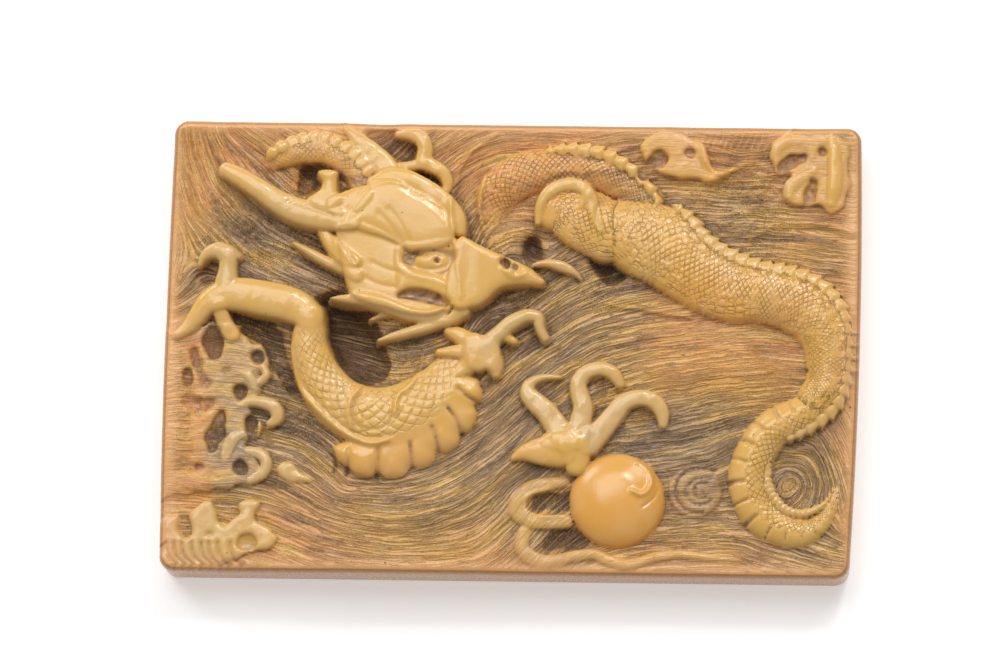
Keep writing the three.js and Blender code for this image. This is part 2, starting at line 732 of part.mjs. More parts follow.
// Visits the net round a brush line with the distance from its middle, its half width and its top
function alongBrush(path, visit) {
  const stops = path.map(([x, y, half, top]) => [...onPlaque(x, y, top), half / sheetScale, top]);
  const line = smoothLine(stops, false);
  for (let i = 0; i + 1 < line.length; i += 1) {
    const [a, b] = [line[i], line[i + 1]];
    const run = [b[0] - a[0], b[1] - a[1]];
    const square = run[0] ** 2 + run[1] ** 2;
    const low = [Math.min(a[0], b[0]), Math.min(a[1], b[1])];
    const high = [Math.max(a[0], b[0]), Math.max(a[1], b[1])];
    overNet(low, high, Math.max(a[2], b[2]) + 1.6, (x, y, index) => {
      const t = THREE.MathUtils.clamp(((x - a[0]) * run[0] + (y - a[1]) * run[1]) / square, 0, 1);
      const away = Math.hypot(x - a[0] - run[0] * t, y - a[1] - run[1] * t);
      visit(index, away, a[2] + (b[2] - a[2]) * t, a[3] + (b[3] - a[3]) * t);
    });
  }
}

function raise(layer) {
  layer.forEach((height, index) => {
    heights[index] = softHigher(heights[index], height);
  });
}

// A rounded ridge along a brush line
function raiseBrush({ path, crown }) {
  const layer = new Float64Array(heights.length).fill(-9);
  alongBrush(path, (index, away, half, top) => {
    const height = away < half
      ? top - crown * shoulder(away / half)
      : top - crown - carving.wallSlope * (away - half);
    layer[index] = Math.max(layer[index], height);
  });
  raise(layer);
}

// A dished hollow along a brush line
function cutBrush(path) {
  const layer = new Float64Array(heights.length).fill(99);
  alongBrush(path, (index, away, half, floor) => {
    const dish = carving.pitDish * half;
    const height = away < half
      ? floor + dish * (away / half) ** 2
      : floor + dish + carving.pitSlope * (away - half);
    layer[index] = Math.min(layer[index], height);
  });
  layer.forEach((height, index) => {
    heights[index] = softLower(heights[index], height);
  });
}

// A table with a round shoulder inside a closed outline
function raisePlate({ outline, top, crown, bevel, fall = 0 }) {
  const line = smoothLine(outline.map(([x, y]) => onPlaque(x, y, top)), true);
  const low = [0, 1].map((axis) => Math.min(...line.map((point) => point[axis])));
  const high = [0, 1].map((axis) => Math.max(...line.map((point) => point[axis])));
  const middle = (low[0] + high[0]) / 2;
  const layer = new Float64Array(heights.length).fill(-9);
  overNet(low, high, 1.6, (x, y, index) => {
    let nearest = Infinity;
    let inside = false;
    for (let i = 0; i + 1 < line.length; i += 1) {
      const [a, b] = [line[i], line[i + 1]];
      const run = [b[0] - a[0], b[1] - a[1]];
      const t = ((x - a[0]) * run[0] + (y - a[1]) * run[1]) / (run[0] ** 2 + run[1] ** 2);
      const clamped = THREE.MathUtils.clamp(t, 0, 1);
      nearest = Math.min(nearest, Math.hypot(x - a[0] - run[0] * clamped, y - a[1] - run[1] * clamped));
      const crosses = (a[1] > y) !== (b[1] > y);
      if (crosses && x < a[0] + run[0] * (y - a[1]) / run[1]) inside = !inside;
    }
    const part = 1 - Math.min(nearest / (bevel / sheetScale), 1);
    layer[index] = inside
      ? top + fall * (x - middle) - crown * shoulder(part)
      : top - crown - carving.wallSlope * nearest;
  });
  raise(layer);
}

// A ball seen to its widest, or an oval boss
function raiseDome({ at, half: [halfAcross, halfAlong], top, drop }) {
  const centre = onPlaque(at[0], at[1], top - drop / 2);
  const layer = new Float64Array(heights.length).fill(-9);
  const half = [halfAcross / sheetScale, halfAlong / sheetScale];
  overNet(centre, centre, Math.max(...half) + 1.2, (x, y, index) => {
    const part = Math.hypot((x - centre[0]) / half[0], (y - centre[1]) / half[1]);
    layer[index] = part < 1
      ? top - drop * shoulder(part)
      : top - drop - carving.wallSlope * (part - 1) * Math.min(...half);
  });
  raise(layer);
}

// The ground, highest along the four edges
overNet([-fieldHalf[0], -fieldHalf[1]], fieldHalf, 0, (x, y, index) => {
  const near = (away, half) => THREE.MathUtils.clamp((away - half) / carving.rimWidth + 1, 0, 1) ** 1.5;
  const rim = near(Math.abs(x), plaque.width / 2) + near(Math.abs(y), plaque.height / 2);
  heights[index] = carving.groundLevel + carving.rimRise * rim;
});
for (const [sheetX, sheetY, spread, rise] of swells) {
  const centre = onPlaque(sheetX, sheetY, carving.groundLevel);
  const width = spread / sheetScale;
  overNet(centre, centre, 3 * width, (x, y, index) => {
    heights[index] += rise * Math.exp(-((x - centre[0]) ** 2 + (y - centre[1]) ** 2) / width ** 2);
  });
}

// Cut and raised in a carver's order: deep hollows, the far forms and their holes, then the near forms
Object.values(groundHollows).forEach(cutBrush);
Object.values(farPlates).forEach(raisePlate);
Object.values(farForms).forEach(raiseBrush);
Object.values(foamHoles).forEach(cutBrush);
Object.values(nearForms).forEach(raiseBrush);
Object.values(nearPlates).forEach(raisePlate);
cutBrush(eyeSocket);
Object.values(domes).forEach(raiseDome);
Object.values(faceHoles).forEach(cutBrush);

function heightAt(x, y) {
  const column = THREE.MathUtils.clamp((x + fieldHalf[0]) / carving.pitch, 0, fieldColumns - 1.001);
  const row = THREE.MathUtils.clamp((y + fieldHalf[1]) / carving.pitch, 0, fieldRows - 1.001);
  const index = Math.floor(row) * fieldColumns + Math.floor(column);
  const [right, up] = [column % 1, row % 1];
  const lower = THREE.MathUtils.lerp(heights[index], heights[index + 1], right);
  const above = index + fieldColumns;
  const upper = THREE.MathUtils.lerp(heights[above], heights[above + 1], right);
  return THREE.MathUtils.lerp(lower, upper, up);
}

// The face's lattice in u and v. Each pass moves a point towards its neighbours, hardest to those that
// lie much higher or lower, so the steep walls get the most faces.
const wide = lattice.columns + 1;
const tall = lattice.rows + 1;
let places = [];
for (let row = 0; row < tall; row += 1) {
  for (let column = 0; column < wide; column += 1) {
    places.push([2 * column / lattice.columns - 1, 2 * row / lattice.rows - 1]);
  }
}
for (let pass = 0; pass < lattice.passes; pass += 1) {
  const levels = places.map(([u, v]) => heightAt(...facePoint(u, v, plaque.edgeRound)));
  places = places.map((place, index) => {
    const column = index % wide;
    const row = Math.floor(index / wide);
    const onSide = column === 0 || column === lattice.columns;
    const onEnd = row === 0 || row === lattice.rows;
    if (onSide && onEnd) return place;
    const near = [];
    if (!onSide || onEnd) near.push(index - 1, index + 1);
    if (!onEnd || onSide) near.push(index - wide, index + wide);
    const along = near.filter((other) => (onSide ? places[other][0] === place[0] : true)
      && (onEnd ? places[other][1] === place[1] : true));
    let total = 0;
    const mean = [0, 0];
    for (const other of along) {
      const weight = 1 + lattice.pull * Math.abs(levels[other] - levels[index]);
      total += weight;
      mean[0] += weight * places[other][0];
      mean[1] += weight * places[other][1];
    }
    return place.map((value, axis) => THREE.MathUtils.lerp(value, mean[axis] / total, 0.6));
  });
}

// The face's points, then the loops down the side and the middle of the back
const points = places.map(([u, v]) => {
  const [x, y] = facePoint(u, v, plaque.edgeRound);
  return [x, y, heightAt(x, y)];
});
const rim = [];
for (let column = 0; column < lattice.columns; column += 1) rim.push(column);
for (let row = 0; row < lattice.rows; row += 1) rim.push(row * wide + lattice.columns);
for (let column = lattice.columns; column > 0; column -= 1) rim.push(lattice.rows * wide + column);
for (let row = lattice.rows; row > 0; row -= 1) rim.push(row * wide);
const shoulderLoop = rim.map((index) => {
  const [x, y] = facePoint(...places[index], 0);
  points.push([x, y, points[index][2] - plaque.edgeDrop]);
  return points.length - 1;
});
const backLoop = rim.map((index) => {
  const [x, y] = facePoint(...places[index], plaque.backBevel);
  points.push([x, y, 0]);
  return points.length - 1;
});
points.push([0, 0, 0]);
const backMiddle = points.length - 1;

const faces = [];
for (let row = 0; row < lattice.rows; row += 1) {
  for (let column = 0; column < lattice.columns; column += 1) {
    const a = row * wide + column;
    const [b, c, d] = [a + 1, a + 1 + wide, a + wide];
    const levelDiagonal = Math.abs(points[a][2] - points[c][2]) < Math.abs(points[b][2] - points[d][2]);
    if (levelDiagonal) faces.push(a, b, c, a, c, d);
    else faces.push(a, b, d, b, c, d);
  }
}
for (const [upper, lower] of [[rim, shoulderLoop], [shoulderLoop, backLoop]]) {
  upper.forEach((_, index) => {
    const next = (index + 1) % upper.length;
    faces.push(upper[index], lower[index], lower[next], upper[index], lower[next], upper[next]);
  });
}
backLoop.forEach((index, place) => {
  faces.push(index, backMiddle, backLoop[(place + 1) % backLoop.length]);
});

const plaqueGeometry = new THREE.BufferGeometry();
plaqueGeometry.setAttribute('position', new THREE.Float32BufferAttribute(points.flat(), 3));
plaqueGeometry.setIndex(faces);
plaqueGeometry.computeVertexNormals();

const ivory = new THREE.MeshStandardMaterial({ name: 'ivory', color: 0xdcb27a, roughness: 0.38 });
const plaqueMesh = new THREE.Mesh(plaqueGeometry, ivory);
plaqueMesh.name = 'plaque';

const object = new THREE.Group();
object.add(plaqueMesh);
export default object;
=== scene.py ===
# An old ivory plaque carved with a dragon over waves, lying on its back under soft studio light.
import math
import bmesh
import bpy
import numpy as np
from mathutils import Matrix, Vector


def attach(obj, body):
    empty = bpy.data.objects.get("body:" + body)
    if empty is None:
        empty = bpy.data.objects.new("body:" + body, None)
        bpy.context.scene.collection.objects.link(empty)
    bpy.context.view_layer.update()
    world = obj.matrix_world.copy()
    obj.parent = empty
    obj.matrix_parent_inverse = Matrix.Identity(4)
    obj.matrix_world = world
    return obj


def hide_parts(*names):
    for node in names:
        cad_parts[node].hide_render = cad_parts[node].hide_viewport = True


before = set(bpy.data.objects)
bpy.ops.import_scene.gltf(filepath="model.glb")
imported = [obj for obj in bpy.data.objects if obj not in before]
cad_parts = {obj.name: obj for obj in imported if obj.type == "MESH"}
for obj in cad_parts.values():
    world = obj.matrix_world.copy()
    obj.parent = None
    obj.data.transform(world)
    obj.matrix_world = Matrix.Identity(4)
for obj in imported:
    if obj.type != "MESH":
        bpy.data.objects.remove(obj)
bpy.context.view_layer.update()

mm = 0.001

# The slab and the mesh that covers it, in millimetres
slab = {
    "width": 60.2, "height": 39.8, "cornerRadius": 1.3,
    "leftLean": 0.35, "leftBow": 0.2, "rightLean": 0.45, "rightBow": 0.4,
    "topFall": 0.2, "bottomFall": 0.15,
    "faceInset": 0.55,
    # rings down the side: how far in from the side, and how far below the face's edge
    "sideRings": [(0.27, 0.12), (0.08, 0.38), (0.0, 0.75)],
    # rings at the foot: how far in from the side, and how high over the back
    "footRings": [(0.0, 0.45), (0.35, 0.0)],
    "columns": 376, "rows": 242,
}

# Square nets laid over the slab: how far they reach past it and how far apart their points are
nets = {"margin": 1.2, "lineStep": 0.25, "carvingStep": 0.1}

# The photograph is the drawing sheet: places on it are in its pixels, lengths in millimetres
sheet = {
    "picture": (1000, 666), "middle": (511.6, 348.8), "distance": 633.0, "focal": 7238.0,
    "tilt": 8.0, "turn": 2.5, "roll": 0.72, "level": 5.6, "scaleLevel": 6.0,
}
# The sheet's pixels in a millimetre, at the relief's middle height
sheetScale = sheet["focal"] / (sheet["distance"] - sheet["scaleLevel"])

# The sheet's right, its up, the way to the eye and the eye, in the plaque's millimetres
def sheetAxes():
    toEye = np.array([math.tan(math.radians(sheet["turn"])), -math.tan(math.radians(sheet["tilt"])), 1.0])
    toEye /= np.linalg.norm(toEye)
    square = np.array([0.0, 1.0, 0.0]) - toEye * toEye[1]
    square /= np.linalg.norm(square)
    level = np.cross(square, toEye)
    roll = math.radians(sheet["roll"])
    right = level * math.cos(roll) + square * math.sin(roll)
    up = square * math.cos(roll) - level * math.sin(roll)
    reach = sheet["distance"] / sheet["focal"]
    aim = np.array([0.0, 0.0, sheet["level"]])
    aim = aim + right * (sheet["picture"][0] / 2 - sheet["middle"][0]) * reach
    aim = aim + up * (sheet["middle"][1] - sheet["picture"][1] / 2) * reach
    return right, up, toEye, aim + toEye * sheet["distance"]

sheetRight, sheetUp, toEye, eye = sheetAxes()

# The point of the plaque at a given height that a place on the sheet shows
def onPlaque(x, y, height):
    ray = sheetRight * (x - sheet["picture"][0] / 2) / sheet["focal"]
    ray = ray + sheetUp * (sheet["picture"][1] / 2 - y) / sheet["focal"] - toEye
    return (eye + ray * (height - eye[2]) / ray[2])[:2]

# u and v run from -1 to 1 over the face; the corners are quarter rounds and the sides lean and bow
def leaningPoint(u, v, inset):
    radius = slab["cornerRadius"] - inset
    straightX = slab["width"] / 2 - slab["cornerRadius"]
    straightY = slab["height"] / 2 - slab["cornerRadius"]
    x = u * (straightX + radius)
    y = v * (straightY + radius)
    a = (np.abs(x) - straightX) / radius
    b = (np.abs(y) - straightY) / radius
    corner = (a > 0) & (b > 0)
    a = np.where(corner, a, 0)
    b = np.where(corner, b, 0)
    x = np.where(corner, np.sign(x) * (straightX + radius * a * np.sqrt(1 - b * b / 2)), x)
    y = np.where(corner, np.sign(y) * (straightY + radius * b * np.sqrt(1 - a * a / 2)), y)
    s = x / (slab["width"] / 2)
    t = y / (slab["height"] / 2)
    belly = 1 - t * t
    left = -slab["width"] / 2 + slab["leftLean"] * t - slab["leftBow"] * belly
    right = slab["width"] / 2 + slab["rightLean"] * t + slab["rightBow"] * belly
    top = slab["height"] / 2 - slab["topFall"] * s
    bottom = -slab["height"] / 2 - slab["bottomFall"] * s
    return left + (right - left) * (s + 1) / 2, bottom + (top - bottom) * (t + 1) / 2

# The middle of the leaning outline's box, which goes to the origin
def outlineMiddle():
    way = np.linspace(-1, 1, 201)
    end = np.ones(way.shape)
    x, y = leaningPoint(np.concatenate([way, way, end, -end]), np.concatenate([end, -end, way, way]), 0.0)
    return (x.min() + x.max()) / 2, (y.min() + y.max()) / 2

middleX, middleY = outlineMiddle()

def facePoint(u, v, inset):
    x, y = leaningPoint(u, v, inset)
    return x - middleX, y - middleY

# A smooth curve through the points, as short straight pieces
def smoothLine(points, closed=False, steps=6):
    points = np.array(points, float)
    count = len(points)
    t = (np.arange(steps) / steps)[:, None]
    line = []
    for i in range(count if closed else count - 1):
        near = [(i + k) % count if closed else min(max(i + k, 0), count - 1) for k in (-1, 0, 1, 2)]
        p0, p1, p2, p3 = points[near]
        line.append(p1 + (p2 - p0) / 2 * t + (p0 - 2.5 * p1 + 2 * p2 - p3 / 2) * t ** 2
                    + (1.5 * (p1 - p2) + (p3 - p0) / 2) * t ** 3)
    line.append(points[:1] if closed else points[-1:])
    return np.concatenate(line)

# How far a shoulder has fallen at a part of its half width; 2 is round and more is flatter on top
def shoulder(part, power):
    return 1 - np.clip(1 - part ** power, 0, 1) ** (1 / power)

def fade(value, low, high):
    t = np.clip((value - low) / (high - low), 0, 1)
    return t * t * (3 - 2 * t)

# Smooth noise from -1 to 1 with lumps of the given size in millimetres
def lumps(x, y, size, seed):
    table = np.random.default_rng(seed).random((64, 64)) * 2 - 1
    x = x / size + 100.3
    y = y / size + 100.7
    ix = np.floor(x).astype(int)
    iy = np.floor(y).astype(int)
    fx = fade(x - ix, 0, 1)
    fy = fade(y - iy, 0, 1)
    near = [[table[(iy + j) % 64, (ix + i) % 64] for i in (0, 1)] for j in (0, 1)]
    low = near[0][0] * (1 - fx) + near[0][1] * fx
    high = near[1][0] * (1 - fx) + near[1][1] * fx
    return low * (1 - fy) + high * fy

# A net's points, and its first point and step
def netPoints(step):
    halfX, halfY = slab["width"] / 2 + nets["margin"], slab["height"] / 2 + nets["margin"]
    netX, netY = np.meshgrid(np.arange(-halfX, halfX, step), np.arange(-halfY, halfY, step))
    return netX, netY, (-halfX, -halfY, step)

# A net's values between its points
def sample(field, place, x, y):
    column = np.clip((x - place[0]) / place[2], 0, field.shape[1] - 1.001)
    row = np.clip((y - place[1]) / place[2], 0, field.shape[0] - 1.001)
    i, j = row.astype(int), column.astype(int)
    up, right = row - i, column - j
    low = field[i, j] * (1 - right) + field[i, j + 1] * right
    high = field[i + 1, j] * (1 - right) + field[i + 1, j + 1] * right
    return low * (1 - up) + high * up

# How far apart the water's lines are, the heights at which places on the sheet are read, and how much
# relief the lines and the lumps drawn out along them have, in millimetres
water = {
    "linePitch": 0.44, "lineLevel": 5.6, "toneLevel": 5.8, "lineDepth": 0.07,
    "swell": 0.15, "strand": 0.13, "streak": 0.05, "lumps": 0.03,
}

# Guides the water's lines run along, on the sheet
flowGuides = [
    [
        (165, 500), (215, 496), (275, 500), (330, 512), (390, 512), (440, 490), (480, 455), (520, 410),
        (560, 375), (600, 352), (650, 338), (700, 335), (750, 338), (790, 350),
    ],
    [(275, 545), (340, 552), (410, 545), (460, 520), (490, 490), (515, 455), (545, 400), (600, 345)],
    [(330, 572), (420, 571), (480, 560), (505, 530), (513, 500)],
    [(600, 360), (650, 352), (700, 352), (760, 362), (800, 376)],
    [(625, 385), (670, 378), (720, 380), (760, 388), (795, 395)],
    [(670, 425), (700, 418), (740, 415)],
    [(640, 452), (680, 448), (725, 440)],
    [(500, 400), (520, 372), (545, 345), (575, 325), (620, 320), (680, 322)],
    [(640, 548), (690, 535), (730, 520), (745, 505)],
    [(640, 572), (700, 572), (760, 570), (845, 572)],
    [(690, 556), (730, 548), (760, 556), (800, 560), (845, 555)],
    [(212, 126), (207, 160), (213, 200), (232, 245)],
    [(228, 130), (222, 165), (226, 195), (250, 240)],
    [(190, 128), (184, 170), (186, 215), (196, 245)],
    [(172, 150), (172, 200), (172, 250), (172, 300)],
    [(245, 215), (262, 240), (290, 262)],
    [(262, 205), (285, 228), (312, 246)],
    [(225, 140), (258, 128), (300, 124), (340, 123)],
    [(458, 240), (452, 200), (462, 165), (488, 138), (530, 128), (580, 127)],
    [(470, 240), (466, 205), (475, 172), (500, 148), (535, 138)],
    [(445, 150), (462, 138), (490, 128)],
    [(600, 135), (640, 128), (700, 128), (760, 128), (840, 130)],
    [(705, 190), (740, 200), (790, 208), (850, 212)],
    [(712, 225), (750, 222), (800, 232), (850, 238)],
    [(745, 250), (790, 248), (850, 262)],
    [(710, 150), (740, 156), (770, 150)],
    [(796, 483), (799, 488), (797, 496), (789, 503), (775, 502)],
    [(793, 485), (789, 490), (781, 491), (772, 484), (768, 471)],
    [(790, 483), (784, 481), (781, 473), (785, 463), (796, 455)],
    [(791, 480), (791, 473), (798, 468), (809, 468), (819, 476)],
    [(795, 479), (801, 478), (808, 482), (811, 493), (807, 505)],
    [(165, 440), (185, 442), (200, 438)],
    [(165, 470), (185, 470), (200, 476)],
    [(165, 385), (180, 380), (196, 384)],
    [(165, 345), (180, 350), (200, 352)],
    [(165, 320), (178, 300), (190, 275)],
    [(548, 300), (575, 292), (600, 285)],
    [(500, 300), (520, 310), (545, 300), (560, 285)],
    [(385, 345), (400, 360), (420, 368), (440, 372)],
    [(850, 430), (846, 470), (848, 520)],
    [(270, 440), (300, 450), (330, 485)],
    [(500, 240), (520, 246), (530, 262)],
]

# The guides give a direction everywhere, and one even field of line numbers is fitted to it, mirrored
# at the sides so that it needs no edge
def lineNumbers():
    netX, netY, place = netPoints(nets["lineStep"])
    acrossX = np.zeros(netX.shape)
    acrossY = np.zeros(netX.shape)
    for guide in flowGuides:
        line = smoothLine([onPlaque(x, y, water["lineLevel"]) for x, y in guide], steps=4)
        for a, b in zip(line[:-1], line[1:]):
            run = b - a
            length = np.hypot(*run)
            middle = (a + b) / 2
            pull = length / ((netX - middle[0]) ** 2 + (netY - middle[1]) ** 2 + 0.3) ** 2
            acrossX -= pull * run[1] / length
            acrossY += pull * run[0] / length
    size = np.hypot(acrossX, acrossY) + 1e-9
    acrossX /= size * water["linePitch"]
    acrossY /= size * water["linePitch"]
    mirrorX = np.block([[acrossX, -acrossX[:, ::-1]], [acrossX[::-1], -acrossX[::-1, ::-1]]])
    mirrorY = np.block([[acrossY, acrossY[:, ::-1]], [-acrossY[::-1], -acrossY[::-1, ::-1]]])
    waveX = np.fft.fftfreq(mirrorX.shape[1], nets["lineStep"]) * 2 * np.pi
    waveY = np.fft.fftfreq(mirrorX.shape[0], nets["lineStep"])[:, None] * 2 * np.pi
    square = waveX ** 2 + waveY ** 2
    square[0, 0] = 1
    field = np.fft.ifft2(-1j * (waveX * np.fft.fft2(mirrorX) + waveY * np.fft.fft2(mirrorY)) / square).real
    return field[:netX.shape[0], :netX.shape[1]], place

lineField, linePlace = lineNumbers()
print("water lines fitted")

# How the ground, walls and hollows are cut: slopes are rise over run, the rest in millimetres
cutting = {
    "groundLevel": 5.65, "rimRise": 0.5, "rimWidth": 4.4, "rimCurve": 1.5,
    "wallSlope": 10.0, "wallStainAndShade": 0.5, "round": 2.3, "domeRound": 2.2,
    "groundSlope": 2.0, "groundBlend": 0.5, "pitSlope": 4.0, "pitDish": 0.35,
    "blend": 0.13, "domeBlend": 0.08, "toothNotch": 0.14, "plateNotch": 0.28,
    "grit": 0.12, "facets": 0.06,
    "worn": 7.95, "rubbed": 0.75,  # above the worn height, this share of the rest is rubbed down
}

# Low swells and dips of the water: x, y and reach on the sheet, rise in millimetres
swells = [
    (172, 360, 34, 0.3), (174, 410, 38, 0.4), (176, 462, 34, 0.35), (470, 500, 70, 0.55),
    (400, 525, 60, 0.45), (340, 540, 50, 0.35), (690, 365, 60, 0.55), (740, 375, 50, 0.4),
    (560, 335, 25, -0.35), (320, 260, 40, -0.45), (270, 225, 28, -0.5), (500, 200, 22, -0.5),
    (740, 190, 30, -0.2), (800, 490, 26, -0.6), (395, 360, 25, -0.35), (510, 300, 20, -0.5),
    (285, 420, 25, -0.3),
]

# Every stroke is a list of (x, y, half width) on the sheet and its height over the back in millimetres
# Hollows cut into the ground before anything stands on it
groundHollows = {
    "bodyHollow": [(336, 316, 14, 3.2), (346, 332, 17, 2.7), (358, 350, 17, 2.9), (370, 366, 14, 3.4)],
    "clawHollow": [
        (244, 318, 8, 5), (256, 326, 11, 4.6), (270, 340, 10, 4.8), (280, 362, 7, 5), (294, 388, 6, 5),
    ],
    "hookHollow": [(209, 268, 7, 5.4), (205, 278, 7, 5.5)],
    "hipHollow": [(604, 262, 8, 4), (612, 274, 9, 4.3)],
    "browHollow": [(533, 248, 4, 4.3), (533.5, 254, 4.5, 4.4)],
    "hornHollow": [(312, 179, 8, 4.3), (306, 188, 6, 4.8)],
    "crestHollow": [(374, 137, 6, 5.3), (390, 143, 11, 5), (406, 152, 9, 5)],
    "crestHollowLow": [(416, 177, 6, 5.1), (430, 184, 8, 4.8)],
    "cloudHollowA": [(540, 503, 9, 5.5), (550, 502, 10, 5.4), (564, 501, 10, 5.3)],
    "cloudHollowB": [(550, 542, 8, 5.5), (564, 539, 9, 5.3), (580, 540, 9, 5.2)],
}

# A form's crown is how far it falls to its edge in millimetres. Blend rounds its foot, round its back,
# soil browns it, keep lets the water's lines run on over it, and tone goes from green to orange
# Foam and spray, as tables with an outline
farPlates = {
    "foamLeft": {
        "top": 6.25, "crown": 0.26, "bevel": 14, "tone": -0.1, "polish": 0.9, "blend": 0.5, "wobble": 0.3,
        "soil": 0.3, "keep": 0.3,
        "outline": [
            (150, 340), (176, 334), (196, 330), (214, 324), (228, 321), (241, 329), (256, 343), (267, 356),
            (269, 366), (262, 373), (262, 386), (252, 395), (246, 402), (250, 412), (258, 424), (257, 436),
            (247, 442), (250, 452), (258, 460), (260, 470), (254, 478), (242, 484), (230, 489), (210, 491),
            (186, 492), (168, 494), (150, 496),
        ],
    },
    "foamKnob": {
        "top": 6.1, "crown": 0.34, "bevel": 6, "tone": -0.8, "wobble": 0.2,
        "outline": [(277, 470), (287, 462), (298, 469), (312, 480), (300, 482), (282, 479)],
    },
    "foamCorner": {
        "top": 6.45, "crown": 0.3, "bevel": 5, "tone": -0.8, "polish": 1.1, "wobble": 0.16,
        "outline": [
            (150, 524), (162, 520), (171, 516), (178, 515), (180, 521), (179, 529), (184, 536), (191, 534),
            (192, 526), (190, 516), (194, 507), (202, 502), (211, 502), (217, 508), (217, 518), (223, 524),
            (232, 518), (240, 512), (238, 505), (244, 499), (250, 498), (258, 503), (254, 512), (254, 520),
            (262, 526), (271, 531), (276, 538), (272, 546), (262, 549), (250, 551), (240, 556), (225, 562),
            (200, 568), (150, 570),
        ],
    },
    "foamTopMass": {
        "top": 6.4, "crown": 0.26, "bevel": 7, "tone": 0.1, "blend": 0.45, "wobble": 0.25, "soil": 0.17,
        "keep": 0.15,
        "outline": [
            (640, 146), (648, 136), (662, 131), (676, 134), (688, 139), (700, 143), (707, 151), (709, 163),
            (716, 170), (728, 173), (724, 178), (708, 181), (700, 178), (690, 177), (678, 178), (668, 174),
            (658, 170), (648, 160),
        ],
    },
    "foamTopRing": {
        "top": 6.4, "crown": 0.26, "bevel": 7, "tone": -0.2, "blend": 0.5, "wobble": 0.3, "soil": 0.17,
        "keep": 0.15,
        "outline": [
            (772, 154), (775, 143), (786, 136), (800, 134), (815, 134), (830, 134), (842, 139), (848, 152),
            (848, 170), (846, 190), (842, 206), (834, 212), (824, 206), (816, 204), (806, 204), (798, 204),
            (788, 202), (783, 192), (786, 182), (790, 176), (780, 172), (774, 164),
        ],
    },
}

